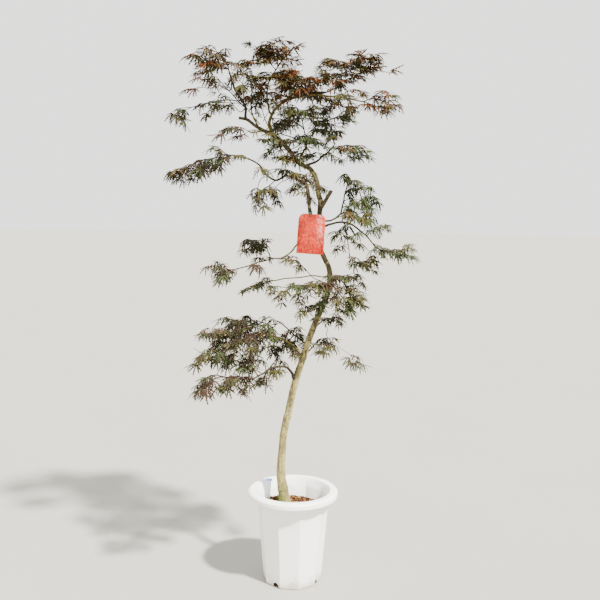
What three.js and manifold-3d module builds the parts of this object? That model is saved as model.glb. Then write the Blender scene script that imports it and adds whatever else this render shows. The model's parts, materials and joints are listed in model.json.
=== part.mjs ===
// A laceleaf Japanese maple, a young grafted tree with a long S-shaped trunk and thin, drooping pads of
// foliage, in a tall white ten-sided nursery pot. Millimetres, +Z up, origin under the middle of the pot.
import * as THREE from 'three';
import { mergeVertices } from 'three/addons/utils/BufferGeometryUtils.js';
import Module from 'manifold-3d';

const wasm = await Module();
wasm.setup();

// ---- Driving dimensions ------------------------------------------------------------------------------

const GAP = 0.3;

const POT = {
  height: 318,
  rimRadius: 155,
  rimWidth: 30,
  lipDepth: 19.5,
  wall: 2.6,
  floor: 5,
  footRadius: 100,
  neckRadius: 124,
  neckHeight: 285,
  shoulderHeight: 308,
  sides: 10,
  stepsPerSide: 3,
  cornerTurn: -77,
  notches: 4,
  notchTurn: -34,
  notchRadius: 9.5,
  drainHoles: 4,
  drainRadius: 6,
  drainCircle: 50,
};

const SOIL = { top: 258, edgeDrop: 6, shoulder: 0.7 };

const LABEL = { width: 25, thickness: 1, foot: 205, top: 334, at: [-77, 60], lean: -3 };

const CARD = {
  width: 91,
  height: 134,
  thickness: 1,
  corner: 17,
  holeRadius: 2.6,
  holeDrop: 6.5,
  holeAside: 8,
  swing: 3.5,
};

const TIE = { wire: 1.1, along: 0.36, loopRadius: 5.5, loopDrop: 6, loopOut: 1.2, cardOut: 2.5 };

// The trunk and the two stems that it forks into: places along the middle, and the thickness there.
const TRUNK = {
  places: [
    [-14, 32, 228],
    [-26, 29, 263],
    [-35, 26, 304],
    [-43, 20, 372],
    [-39, 14, 450],
    [-33, 7, 518],
    [-14, 1, 612],
    [5, -5, 700],
    [33, -9, 791],
    [51, -10, 850],
    [80, -8, 925],
    [112, 0, 1008],
    [118, 6, 1070],
    [107, 8, 1110],
    [90, 8, 1136],
    [77, 5, 1172],
    [69, 2, 1212],
  ],
  thickness: [38, 36, 32.5, 27, 26, 25.5, 24.5, 24, 23.5, 22.5, 21.5, 20.5, 18.5, 18.5, 17.5, 17, 18],
  sides: 10,
  steps: 22,
};

const FLARE = { roots: 5, size: 0.2, height: 26 };

const LEADER = {
  places: [
    [74, 3, 1194],
    [81, 8, 1284],
    [75, 14, 1338],
    [69, 20, 1385],
    [47, 25, 1422],
    [8, 28, 1443],
    [-23, 28, 1482],
    [-54, 24, 1515],
    [-98, 18, 1543],
    [-128, 14, 1556],
    [-171, 8, 1585],
    [-194, 6, 1588],
  ],
  thickness: [17, 17, 16, 16.5, 17, 16, 16, 15.5, 15, 13.5, 11, 10],
  sides: 8,
  steps: 18,
};

const SNAG = { from: 0.2, tip: [120, 8, 1350], thickness: [10, 9.5] };

const LEFT_STEM = {
  places: [
    [72, 3, 1202],
    [53, -5, 1257],
    [42, -18, 1317],
    [41, -24, 1340],
    [32, -36, 1372],
    [26, -72, 1384],
  ],
  thickness: [14, 13, 12.5, 12, 11, 9.5],
  sides: 8,
  steps: 9,
};

// Each mass of foliage: its middle, its size along, across and up, the heading of its long axis in degrees
// from +X, and how far its outer end falls, in degrees.
const FOLIAGE = {
  top: { at: [-62, -10, 1800], size: [160, 140, 80], heading: 150, fall: 0 },
  top_left: { at: [-275, -110, 1745], size: [172, 150, 78], heading: 195, fall: 6 },
  left_second: { at: [-306, 30, 1696], size: [150, 130, 50], heading: 168, fall: 10 },
  left_tip: { at: [-380, -62, 1594], size: [136, 100, 58], heading: 190, fall: 26 },
  central_left: { at: [-189, 112, 1710], size: [145, 140, 88], heading: 140, fall: 0 },
  central: { at: [22, -75, 1702], size: [262, 180, 92], heading: 350, fall: -4 },
  top_right: { at: [203, -50, 1748], size: [196, 150, 78], heading: 352, fall: -14 },
  far_right: { at: [258, -165, 1622], size: [172, 130, 62], heading: 335, fall: 2 },
  mid_right: { at: [118, 128, 1583], size: [212, 190, 120], heading: 40, fall: 4 },
  mid_centre: { at: [-60, 100, 1598], size: [180, 200, 116], heading: 110, fall: 5 },
  mid_right_low: { at: [184, 45, 1492], size: [192, 150, 84], heading: 10, fall: 12 },
  left_mid: { at: [-190, -185, 1515], size: [165, 130, 58], heading: 215, fall: 14 },
  left_droop: { at: [-290, -90, 1424], size: [256, 140, 66], heading: 186, fall: 27 },
  below_leader: { at: [-98, -104, 1338], size: [165, 150, 84], heading: 230, fall: 22 },
  over_card: { at: [22, -122, 1374], size: [150, 140, 96], heading: 285, fall: 22 },
  right_upper: { at: [216, 80, 1350], size: [178, 130, 66], heading: 20, fall: 40 },
  right_mid: { at: [254, -72, 1254], size: [188, 130, 64], heading: 350, fall: 12 },
  right_tip: { at: [345, -112, 1144], size: [130, 110, 52], heading: 348, fall: 9 },
  right_low: { at: [233, 58, 1104], size: [156, 110, 48], heading: 20, fall: 4 },
  left_dark: { at: [-147, 50, 1164], size: [166, 125, 60], heading: 160, fall: 10 },
  left_low: { at: [-234, -112, 1068], size: [150, 110, 62], heading: 195, fall: 26 },
  left_small: { at: [-138, 182, 1010], size: [142, 110, 58], heading: 155, fall: 22 },
  trunk_front: { at: [24, -58, 994], size: [215, 170, 112], heading: 205, fall: 20 },
  trunk_right: { at: [176, -24, 1010], size: [166, 160, 100], heading: 350, fall: 20 },
  trunk_right_low: { at: [168, 165, 888], size: [152, 130, 74], heading: 40, fall: 14 },
  lower_left_top: { at: [-138, 180, 856], size: [300, 170, 96], heading: 168, fall: 14 },
  lower_left: { at: [-200, -42, 830], size: [376, 180, 104], heading: 183, fall: 20 },
  lowest: { at: [-212, -160, 718], size: [280, 160, 76], heading: 188, fall: 12 },
  lower_right: { at: [118, 150, 800], size: [156, 130, 74], heading: 35, fall: 22 },
};

// Each bough: the limb that it leaves and how far along, the places that it bends through, its thickness at
// both ends, and the mass that it carries. It ends just inside the thick end of that mass.
const BOUGHS = {
  arch: {
    from: ['leader', 0.775],
    via: [[-89, 6, 1588], [-62, -12, 1624], [-19, -40, 1645], [58, -72, 1654], [116, -105, 1646]],
    thickness: [11, 4.5],
    mass: 'far_right',
  },
  top: { from: ['arch', 0.16], via: [[-98, 8, 1650], [-90, 18, 1720]], thickness: [6, 3.5], mass: 'top' },
  top_right: { from: ['arch', 0.6], via: [[122, -78, 1676]], thickness: [5.5, 3.2], mass: 'top_right' },
  top_left: {
    from: ['leader', 0.955],
    via: [[-172, -18, 1628], [-196, -42, 1662]],
    thickness: [9.5, 4.5],
    mass: 'top_left',
  },
  left_second: { from: ['top_left', 0.66], via: [[-222, -14, 1672]], thickness: [4.5, 3], mass: 'left_second' },
  left_tip: { from: ['top_left', 0.33], via: [[-244, -36, 1638]], thickness: [4.5, 3], mass: 'left_tip' },
  central_left: { from: ['leader', 0.86], via: [[-152, 44, 1606]], thickness: [6, 3.5], mass: 'central_left' },
  mid_right: { from: ['leader', 0.53], via: [[30, 56, 1492]], thickness: [7.5, 4], mass: 'mid_right' },
  mid_right_low: { from: ['leader', 0.475], via: [[86, 40, 1461]], thickness: [9, 4.5], mass: 'mid_right_low' },
  left_mid: { from: ['leader', 0.82], via: [[-140, -60, 1532]], thickness: [5, 3.2], mass: 'left_mid' },
  left_loop: {
    from: ['left_stem', 0.8],
    via: [[-28, -56, 1394], [-78, -64, 1378], [-116, -74, 1424], [-156, -80, 1447]],
    thickness: [9, 4],
    mass: 'left_droop',
  },
  right_upper: { from: ['leader', 0.1], via: [[140, 30, 1256]], thickness: [7, 4], mass: 'right_upper' },
  right_arch: {
    from: ['leader', 0.045],
    via: [[122, -14, 1238], [170, -30, 1242], [224, -60, 1212], [270, -88, 1160]],
    thickness: [8.5, 3.5],
    mass: 'right_tip',
  },
  right_low: { from: ['right_arch', 0.33], via: [[175, -4, 1190]], thickness: [4, 3], mass: 'right_low' },
  right_mid: { from: ['right_arch', 0.4], via: [[190, -50, 1252]], thickness: [4, 3], mass: 'right_mid' },
  left: {
    from: ['trunk', 0.96],
    via: [[10, 14, 1168], [-31, 0, 1126], [-90, -26, 1118], [-136, -60, 1104]],
    thickness: [6.5, 3.2],
    mass: 'left_low',
  },
  left_dark: { from: ['left', 0.58], via: [], thickness: [4, 3], mass: 'left_dark' },
  left_small: { from: ['trunk', 0.84], via: [[42, 62, 1054]], thickness: [4.5, 3], mass: 'left_small' },
  trunk_right_low: { from: ['trunk', 0.65], via: [[96, 52, 900]], thickness: [6, 3.5], mass: 'trunk_right_low' },
  lower_left_top: { from: ['trunk', 0.6], via: [[8, 40, 846]], thickness: [7, 4], mass: 'lower_left_top' },
  lower_left: { from: ['trunk', 0.55], via: [[-8, -20, 828]], thickness: [9, 4.5], mass: 'lower_left' },
  lowest: { from: ['trunk', 0.47], via: [[-20, -44, 752], [-74, -96, 760]], thickness: [10.5, 5], mass: 'lowest' },
  lower_right: { from: ['trunk', 0.56], via: [[60, 44, 806]], thickness: [6, 3.5], mass: 'lower_right' },
};

const BOUGH_STEP = 38;
const BOUGH_SIDES = 5;
const MASS_SIDES = 12;
const MASS_ROWS = 6;

// ---- Solids ------------------------------------------------------------------------------------------

function vector(place) {
  return new THREE.Vector3(...place);
}

// A closed geometry as a solid that can be cut and joined.
function solidOf(geometry) {
  const bare = geometry.index ? geometry.clone() : geometry;
  bare.deleteAttribute('normal');
  bare.deleteAttribute('uv');
  const merged = mergeVertices(bare, 1e-3);
  const mesh = new wasm.Mesh({
    numProp: 3,
    vertProperties: new Float32Array(merged.attributes.position.array),
    triVerts: new Uint32Array(merged.index.array),
  });
  return new wasm.Manifold(mesh);
}

function geometryOf(solid) {
  const mesh = solid.getMesh();
  const geometry = new THREE.BufferGeometry();
  geometry.setAttribute('position', new THREE.BufferAttribute(mesh.vertProperties, 3));
  geometry.setIndex(new THREE.BufferAttribute(mesh.triVerts, 1));
  geometry.computeVertexNormals();
  return geometry;
}

// The biggest of the pieces that a cut leaves.
function mainPiece(solid) {
  const pieces = solid.decompose();
  pieces.sort((a, b) => b.volume() - a.volume());
  return pieces[0];
}

function boxesMeet(a, b) {
  const first = a.boundingBox();
  const second = b.boundingBox();
  return [0, 1, 2].every((axis) => first.min[axis] < second.max[axis] && second.min[axis] < first.max[axis]);
}

// Cuts a solid clear of its neighbours, each given a little larger than it is.
function clearOf(solid, neighbours) {
  let clear = solid;
  for (const neighbour of neighbours) {
    if (boxesMeet(clear, neighbour)) {
      clear = clear.subtract(neighbour);
    }
  }
  return mainPiece(clear);
}

// ---- Pot, soil and label -----------------------------------------------------------------------------

// How far the wall stands in from the circle through its corners: flat sides up to the neck, a round rim.
function facetShrink(angle, height) {
  const side = (2 * Math.PI) / POT.sides;
  const start = THREE.MathUtils.degToRad(POT.cornerTurn);
  const across = ((((angle - start) % side) + side) % side) - side / 2;
  const flat = Math.cos(side / 2) / Math.cos(across);
  const fade = (height - POT.neckHeight) / (POT.shoulderHeight - POT.neckHeight);
  return THREE.MathUtils.lerp(flat, 1, THREE.MathUtils.clamp(fade, 0, 1));
}

// A body turned about the pot's axis, then pressed to the pot's flat sides.
function facetedTurning(profile) {
  const points = profile.map(([radius, height]) => new THREE.Vector2(radius, height));
  const geometry = new THREE.LatheGeometry(points, POT.sides * POT.stepsPerSide);
  geometry.rotateX(Math.PI / 2);
  geometry.rotateZ(THREE.MathUtils.degToRad(POT.cornerTurn + 90));
  const position = geometry.attributes.position;
  for (let i = 0; i < position.count; i += 1) {
    const angle = Math.atan2(position.getY(i), position.getX(i));
    const shrink = facetShrink(angle, position.getZ(i));
    position.setX(i, position.getX(i) * shrink);
    position.setY(i, position.getY(i) * shrink);
  }
  return geometry;
}

function innerRadius(height) {
  const rise = (height - POT.floor) / (POT.neckHeight - POT.floor);
  return THREE.MathUtils.lerp(POT.footRadius + 1, POT.neckRadius, rise) - POT.wall;
}

// The wall rises to a wide rim that turns down into a lip, hollow underneath.
function potProfile() {
  const top = POT.height;
  const outer = POT.rimRadius;
  const inner = outer - POT.rimWidth;
  const under = top - POT.wall;
  return [
    [0, 0],
    [POT.footRadius, 0],
    [POT.footRadius + 1, POT.floor],
    [POT.neckRadius, POT.neckHeight],
    [inner + POT.wall, POT.shoulderHeight],
    [inner + 6, under],
    [outer - 7, under],
    [outer - POT.wall, under - 4],
    [outer - POT.wall, top - POT.lipDepth],
    [outer, top - POT.lipDepth],
    [outer, top - 6],
    [outer - 5, top],
    [inner + 5, top],
    [inner, top - 6],
    [innerRadius(POT.neckHeight), POT.neckHeight],
    [innerRadius(POT.floor), POT.floor],
    [0, POT.floor],
  ];
}

function potSolid() {
  let pot = solidOf(facetedTurning(potProfile()));
  for (let i = 0; i < POT.notches; i += 1) {
    const turn = THREE.MathUtils.degToRad(POT.notchTurn - 90) + (i * 2 * Math.PI) / POT.notches;
    const notch = new THREE.CylinderGeometry(POT.notchRadius, POT.notchRadius, 40, 10);
    notch.rotateZ(Math.PI / 2);
    notch.translate(POT.footRadius, 0, POT.floor);
    notch.rotateZ(turn);
    pot = pot.subtract(solidOf(notch));
  }
  for (let i = 0; i < POT.drainHoles; i += 1) {
    const hole = new THREE.CylinderGeometry(POT.drainRadius, POT.drainRadius, 4 * POT.floor, 8);
    hole.rotateX(Math.PI / 2);
    hole.translate(POT.drainCircle, 0, 0);
    hole.rotateZ((i * 2 * Math.PI) / POT.drainHoles);
    pot = pot.subtract(solidOf(hole));
  }
  return pot;
}

function labelSolid(grow = 0) {
  const height = LABEL.top - LABEL.foot;
  const blade = new THREE.BoxGeometry(
    LABEL.width + 2 * grow,
    LABEL.thickness + 2 * grow,
    height + 2 * grow,
  );
  blade.rotateX(THREE.MathUtils.degToRad(LABEL.lean));
  blade.translate(LABEL.at[0], LABEL.at[1], LABEL.foot + height / 2);
  return solidOf(blade);
}

// The soil fills the pot to well below the rim, level in the middle and a little lower at the wall.
function soilSolid() {
  const foot = POT.floor + GAP;
  const edge = SOIL.top - SOIL.edgeDrop;
  const soil = facetedTurning([
    [0, foot],
    [innerRadius(foot) - GAP, foot],
    [innerRadius(edge) - GAP, edge],
    [innerRadius(edge) * SOIL.shoulder, SOIL.top],
    [0, SOIL.top],
  ]);
  return solidOf(soil).subtract(labelSolid(GAP));
}

// ---- Card and its tie --------------------------------------------------------------------------------

// The tie's ring stands round the left stem, and its loop hangs in front of the ring.
function tiePlaces(stem) {
  const middle = stem.curve.getPointAt(TIE.along);
  const ringRadius = stem.radiusAt(TIE.along) + TIE.wire + 1.5 * GAP;
  const loop = middle.clone().add(new THREE.Vector3(0, -ringRadius - TIE.loopOut, -TIE.loopDrop));
  const wireBelow = Math.sqrt(TIE.loopRadius ** 2 - TIE.cardOut ** 2);
  const hole = loop.clone().add(new THREE.Vector3(0, -TIE.cardOut, -wireBelow));
  hole.z += TIE.wire + 2 * GAP - CARD.holeRadius;
  return { middle, ringRadius, loop, hole };
}

// A picture card with its top corners cut round. It hangs askew by the hole under its top edge.
function cardSolid(stem) {
  const left = CARD.holeAside - CARD.width / 2;
  const right = left + CARD.width;
  const top = CARD.holeDrop;
  const outline = new THREE.Shape();
  outline.moveTo(left, top - CARD.height);
  outline.lineTo(right, top - CARD.height);
  outline.absarc(right - CARD.corner, top - CARD.corner, CARD.corner, 0, Math.PI / 2);
  outline.absarc(left + CARD.corner, top - CARD.corner, CARD.corner, Math.PI / 2, Math.PI);
  const hole = new THREE.Path();
  hole.absarc(0, 0, CARD.holeRadius, 0, 2 * Math.PI, true);
  outline.holes.push(hole);
  const settings = { depth: CARD.thickness, bevelEnabled: false, curveSegments: 6 };
  const card = new THREE.ExtrudeGeometry(outline, settings);
  card.translate(0, 0, -CARD.thickness / 2);
  card.rotateX(Math.PI / 2);
  card.rotateY(THREE.MathUtils.degToRad(CARD.swing));
  card.translate(...tiePlaces(stem).hole.toArray());
  return solidOf(card);
}

// A ring of green wire round the left stem, twisted into a small loop through the card's hole.
function tieSolid(stem) {
  const { middle, ringRadius, loop } = tiePlaces(stem);
  const ring = new THREE.TorusGeometry(ringRadius, TIE.wire, 4, 12);
  const upright = new THREE.Vector3(0, 0, 1);
  ring.applyQuaternion(new THREE.Quaternion().setFromUnitVectors(upright, stem.curve.getTangentAt(TIE.along)));
  ring.translate(...middle.toArray());
  const eye = new THREE.TorusGeometry(TIE.loopRadius, TIE.wire, 4, 10);
  eye.rotateY(Math.PI / 2);
  eye.translate(...loop.toArray());
  return solidOf(ring).add(solidOf(eye));
}

// ---- Limbs -------------------------------------------------------------------------------------------

function limbAlong({ places, thickness, sides, steps }) {
  const curve = new THREE.CatmullRomCurve3(places.map(vector), false, 'centripetal');
  const last = thickness.length - 1;
  const radiusAt = (along) => {
    const station = Math.min(along * last, last - 1e-6);
    const before = Math.floor(station);
    return THREE.MathUtils.lerp(thickness[before], thickness[before + 1], station - before) / 2;
  };
  return { curve, radiusAt, sides, steps };
}

// A cylinder bent along the limb's middle line, its radius from radiusAt and any flare.
function limbSolid(limb, grow = 0, flareAt = () => 1) {
  const { curve, radiusAt, sides, steps } = limb;
  const frames = curve.computeFrenetFrames(steps);
  const geometry = new THREE.CylinderGeometry(1, 1, 1, sides, steps);
  const position = geometry.attributes.position;
  for (let i = 0; i < position.count; i += 1) {
    const along = THREE.MathUtils.clamp(position.getY(i) + 0.5, 0, 1);
    const row = Math.round(along * steps);
    const end = row === 0 ? -grow : grow;
    const point = curve.getPointAt(along);
    const angle = Math.atan2(position.getZ(i), position.getX(i));
    const radius = radiusAt(along) * flareAt(point.z, angle) + grow;
    point.addScaledVector(frames.normals[row], position.getX(i) * radius);
    point.addScaledVector(frames.binormals[row], -position.getZ(i) * radius);
    if (row === 0 || row === steps) {
      point.addScaledVector(frames.tangents[row], end);
    }
    position.setXYZ(i, point.x, point.y, point.z);
  }
  return solidOf(geometry);
}

function rootFlare(height, angle) {
  const above = Math.max(height - SOIL.top, 0);
  const strength = FLARE.size * Math.exp(-above / FLARE.height);
  return 1 + strength * Math.max(Math.cos(FLARE.roots * angle), -0.4);
}

// The trunk is cut flat where it meets the soil.
function trunkSolid(trunk, grow = 0) {
  const below = new THREE.BoxGeometry(200, 200, 100);
  below.translate(TRUNK.places[0][0], TRUNK.places[0][1], SOIL.top + GAP - grow - 50);
  return limbSolid(trunk, grow, rootFlare).subtract(solidOf(below));
}

// The leader keeps the snag of a stem that was pruned away.
function snagLimb(leader) {
  return limbAlong({
    places: [leader.curve.getPointAt(SNAG.from).toArray(), SNAG.tip],
    thickness: SNAG.thickness,
    sides: 8,
    steps: 1,
  });
}

// ---- Foliage -----------------------------------------------------------------------------------------

// The thick end of a mass, where its bough goes in.
function massEntry({ at, size, heading, fall }) {
  const back = 0.3 * size[0];
  const turn = THREE.MathUtils.degToRad(heading);
  const tilt = THREE.MathUtils.degToRad(fall);
  return [
    at[0] - back * Math.cos(turn) * Math.cos(tilt),
    at[1] - back * Math.sin(turn) * Math.cos(tilt),
    at[2] + back * Math.sin(tilt),
  ];
}

// An uneven pad: a flattened ball with a wavy outline, domed above and drooping at its edge.
function massSolid({ at, size, heading, fall }, seed, grow = 0) {
  const [length, width, height] = size;
  const geometry = new THREE.SphereGeometry(1, MASS_SIDES, MASS_ROWS);
  geometry.rotateX(Math.PI / 2);
  const position = geometry.attributes.position;
  for (let i = 0; i < position.count; i += 1) {
    const out = Math.hypot(position.getX(i), position.getY(i));
    const turn = Math.atan2(position.getY(i), position.getX(i));
    const wave = 0.12 * Math.cos(3 * turn + 2.1 * seed) + 0.09 * Math.cos(5 * turn + 1.3 * seed);
    const edge = 0.94 + out * wave;
    const lump = 0.12 * out * Math.cos(2 * turn + 1.7 * seed);
    const up = position.getZ(i) * (1 + lump) - 0.45 * out * out + 0.2;
    position.setX(i, position.getX(i) * (edge * (length / 2) + grow));
    position.setY(i, position.getY(i) * (edge * (width / 2) + grow));
    position.setZ(i, (up * height) / 2 + position.getZ(i) * grow);
  }
  geometry.rotateY(THREE.MathUtils.degToRad(fall));
  geometry.rotateZ(THREE.MathUtils.degToRad(heading));
  geometry.translate(...at);
  return solidOf(geometry);
}

// ---- Assembly ----------------------------------------------------------------------------------------

const MATERIALS = {
  plastic: { color: 0xf1f2ec, roughness: 0.35 },
  soil: { color: 0x6e4630, roughness: 0.95 },
  label: { color: 0xd9e4ec, roughness: 0.4 },
  card: { color: 0xe0503f, roughness: 0.3 },
  wire: { color: 0x2e8b57, roughness: 0.5 },
  bark: { color: 0x9a9077, roughness: 0.85 },
  twig: { color: 0x5a4c2e, roughness: 0.8 },
  bronze: { color: 0x7d4a26, roughness: 0.7 },
  olive: { color: 0x5f6b34, roughness: 0.7 },
  dark: { color: 0x4d3a30, roughness: 0.7 },
};

const MASS_TINTS = [
  ['bronze', ['top', 'top_left', 'left_second', 'left_tip', 'central_left', 'central', 'top_right', 'far_right']],
  ['dark', ['left_droop', 'left_dark', 'left_low', 'lower_left_top', 'lower_left', 'lowest', 'left_mid']],
];

function tintOf(name) {
  const found = MASS_TINTS.find(([, names]) => names.includes(name));
  return found ? found[0] : 'olive';
}

const tree = new THREE.Group();

function place(name, solid, finish) {
  const material = new THREE.MeshStandardMaterial({ ...MATERIALS[finish], metalness: 0 });
  const mesh = new THREE.Mesh(geometryOf(solid), material);
  mesh.name = name;
  tree.add(mesh);
}

place('pot', potSolid(), 'plastic');
place('soil', soilSolid(), 'soil');
place('plant_label', labelSolid(), 'label');

const limbs = {};
const grown = [];

// Places a limb, cut clear of the limbs before it, and keeps it a little larger for the later ones.
function placeLimb(name, limb, solid, larger, finish) {
  limbs[name] = limb;
  place(finish === 'twig' ? `bough_${name}` : name, clearOf(solid, grown), finish);
  grown.push(larger);
}

const trunk = limbAlong(TRUNK);
placeLimb('trunk', trunk, trunkSolid(trunk), trunkSolid(trunk, GAP), 'bark');

const leader = limbAlong(LEADER);
const snag = snagLimb(leader);
placeLimb(
  'leader',
  leader,
  limbSolid(leader).add(limbSolid(snag)),
  limbSolid(leader, GAP).add(limbSolid(snag, GAP)),
  'bark',
);

const leftStem = limbAlong(LEFT_STEM);
placeLimb('left_stem', leftStem, limbSolid(leftStem), limbSolid(leftStem, GAP), 'bark');

for (const [name, { from, via, thickness, mass }] of Object.entries(BOUGHS)) {
  const [parent, along] = from;
  const start = limbs[parent].curve.getPointAt(along).toArray();
  const places = [start, ...via, massEntry(FOLIAGE[mass])];
  const bough = limbAlong({ places, thickness, sides: BOUGH_SIDES, steps: 1 });
  bough.steps = Math.max(2, Math.round(bough.curve.getLength() / BOUGH_STEP));
  placeLimb(name, bough, limbSolid(bough), limbSolid(bough, GAP), 'twig');
}

place('card', cardSolid(leftStem), 'card');
place('card_tie', clearOf(tieSolid(leftStem), grown), 'wire');

Object.entries(FOLIAGE).forEach(([name, mass], seed) => {
  place(`foliage_${name}`, clearOf(massSolid(mass, seed), grown), tintOf(name));
  grown.push(massSolid(mass, seed, GAP));
});

export default tree;
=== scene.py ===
"""The looks of a potted laceleaf maple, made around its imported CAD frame. All lengths are in metres.

Bark, twigs, leaf stalks, leaves, soil, pot, label, card and tie are modelled here. Their places come from
the CAD nodes: each limb's middle line is found again in its node, and each mass of foliage is filled with
twigs and leaves that grow on from the limbs.
"""
import heapq
import json
import math
import random

import bmesh
import bpy
import numpy as np
from mathutils import Matrix, Vector, noise
from mathutils.bvhtree import BVHTree


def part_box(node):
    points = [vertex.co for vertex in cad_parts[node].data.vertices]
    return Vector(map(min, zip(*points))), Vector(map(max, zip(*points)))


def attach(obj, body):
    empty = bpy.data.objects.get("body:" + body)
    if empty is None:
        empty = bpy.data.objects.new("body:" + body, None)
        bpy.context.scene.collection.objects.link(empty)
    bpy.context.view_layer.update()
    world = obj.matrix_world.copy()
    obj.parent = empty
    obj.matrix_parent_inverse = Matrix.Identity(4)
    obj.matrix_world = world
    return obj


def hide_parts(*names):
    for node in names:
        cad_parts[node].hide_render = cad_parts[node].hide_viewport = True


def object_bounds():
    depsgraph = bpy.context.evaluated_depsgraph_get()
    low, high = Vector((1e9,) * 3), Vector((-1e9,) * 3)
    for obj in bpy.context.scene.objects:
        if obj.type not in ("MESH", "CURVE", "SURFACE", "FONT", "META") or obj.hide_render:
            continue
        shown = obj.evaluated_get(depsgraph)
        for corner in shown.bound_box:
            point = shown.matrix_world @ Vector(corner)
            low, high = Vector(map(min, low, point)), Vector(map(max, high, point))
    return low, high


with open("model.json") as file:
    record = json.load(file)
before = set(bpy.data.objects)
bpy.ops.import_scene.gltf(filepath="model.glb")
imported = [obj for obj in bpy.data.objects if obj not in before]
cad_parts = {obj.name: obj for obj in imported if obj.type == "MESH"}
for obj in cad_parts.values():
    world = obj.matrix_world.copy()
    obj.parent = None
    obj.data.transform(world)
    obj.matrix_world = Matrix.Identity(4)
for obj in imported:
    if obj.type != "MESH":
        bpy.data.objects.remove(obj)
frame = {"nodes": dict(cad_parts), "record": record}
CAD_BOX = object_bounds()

NODES = frame["nodes"]
SLOTS = {part["node"]: part["material_slot"] for part in frame["record"]["subparts"]}
STEMS = ["trunk", "leader", "left_stem"]
BOUGHS = sorted(name for name in NODES if name.startswith("bough_"))
MASSES = sorted(name for name in NODES if name.startswith("foliage_"))
YOUNG_BOUGHS = [
    "bough_central_left",
    "bough_left",
    "bough_left_small",
    "bough_left_dark",
    "bough_lower_left",
]
OLIVE_BOUGHS = ["bough_arch", "bough_left_second", "bough_top", "bough_mid_right"]
UP = Vector((0, 0, 1))
MERGE = 1e-5

# ---- Driving sizes -----------------------------------------------------------------------------------

CAMERA = {"at": (0.017, -2.640, 1.263), "pitch": 5.05, "roll": 0.6, "lens": 46.8, "shift_up": -0.025}

POT = {
    "foot": 0.100,
    "neck": 0.124,
    "neck_height": 0.285,
    "shoulder": 0.308,
    "rim_width": 0.030,
    "lip": 0.0195,
    "wall": 0.0026,
    "floor": 0.005,
    "sides": 10,
    "cuts": 11,
    "notches": 4,
    "notch_turn": -124,
    "notch_radius": 0.0122,
    "drain_circle": 0.05,
    "drain_radius": 0.006,
}

SOIL = {
    "foot": 0.097,
    "rise": [(0.1045, 0.095, 0), (0.1125, 0.19, 0), (0.1165, 0.244, 0)],
    "rings": 8,
    "ridge": -0.03,
    "clear": 0.003,
    "grains": 5200,
    "smallest": 0.0011,
    "spread": 0.0031,
    "shares": (0.38, 0.25, 0.37),
}

LABEL = {
    "thick": 0.001,
    "corner": 0.004,
    "point": 0.48,
    "rings": 14,
    "neck": 0.0085,
    "head": 1.05,
    "foot": 0.58,
    "widening": 2.6,
    "aside": 0.0125,
    "lean": 0.04,
    "back": 0.004,
}

CARD = {
    "width": 0.091,
    "tall": 0.134,
    "thick": 0.0008,
    "swing": 3.5,
    "corner": 0.021,
    "columns": 12,
    "hole": (-0.008, 0.0065),
    "hole_radius": 0.0026,
    "curl": 0.0016,
}

WIRE = {"radius": 0.0011, "eye": 0.0055, "slack": 0.0003}

STEM_BARK = {
    "sides": {"trunk": 36, "leader": 26, "left_stem": 22},
    "step": 0.003,
    "collar": 0.12,
    "knots": 0.085,
    "relief": (0.0006, 1.0),
    "root_depth": 0.006,
    "flare": 0.2,
    "flare_height": 0.022,
    "root_ridges": 5,
}

BOUGH_BARK = {
    "sides": 12,
    "step": 0.004,
    "collar": 0.3,
    "knots": 0.038,
    "relief": (0.0003, 2.2),
    "least": 0.0014,
    "least_young": 0.0021,
    "bend": 0.0035,
}

SNAG = {
    "sides": 18,
    "from_tip": (0.045, 0, 0.066),
    "radii": (0.0072, 0.0064, 0.0062),
    "relief": (0.0004, 1.6),
}

LIGHT = {
    "sky": (0.95, 0.95, 0.93, 1),
    "sky_strength": 2.3,
    "sun": (1.0, 0.96, 0.9),
    "sun_strength": 17,
    "sun_width": 4,
    "turn": 46,
    "rise": 51,
}

LEAF = {
    "lobes": 7,
    "spread": 86,
    "length": 0.048,
    "stations": (0.0, 0.2, 0.4, 0.6, 0.8, 1.0),
    "half_widths": (0.0009, 0.0019, 0.0024, 0.0022, 0.0014, 0.0),
    "teeth": (0.0022, 0.0034, 0.0036, 0.0028),
    "kinds": 12,
}

GROWTH = {
    "spacing": 0.047,
    "flatness": 1.6,
    "tries": 1800,
    "inset": (0.03, 0.03, 0.012),
    "least": 0.35,
    "edge": (0.055, 0.066),
    "stray": 0.16,
    "stray_reach": 0.025,
    "tuft_tries": 40,
    "tuft_spacing": 0.034,
    "straight": 1.7,
    "turning": 0.7,
    "balance": 0.35,
    "lean": 0.16,
    "lift": 0.05,
    "step": 0.024,
    "tip": 0.0009,
    "thickening": 0.42,
    "spray": 0.065,
    "droop": 0.35,
}

# These tables name each mass without its "foliage_". First, how far its leaves tip down,
# in radians; the others tip by GROWTH["droop"].
DROOP = {
    "top": -0.15, "top_right": -0.2, "top_left": 0.1, "central": 0.0, "far_right": 0.1,
    "left_tip": 0.45, "mid_right": 0.15, "mid_centre": 0.15, "mid_right_low": 0.2,
    "below_leader": 0.5, "right_upper": 0.7, "right_mid": 0.45, "lower_left_top": 0.45,
    "lower_left": 0.5, "lowest": 0.45, "trunk_front": 0.25,
}

# How closely each mass's twig tips stand; the others stand GROWTH["spacing"] apart.
SPACING = {
    "top": 0.031, "top_right": 0.029, "top_left": 0.037, "central": 0.03, "right_upper": 0.043,
    "trunk_front": 0.05, "right_low": 0.062, "right_mid": 0.052, "mid_right": 0.034,
    "mid_centre": 0.037, "lower_left_top": 0.039, "lower_left": 0.039, "lowest": 0.042,
}

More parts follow.
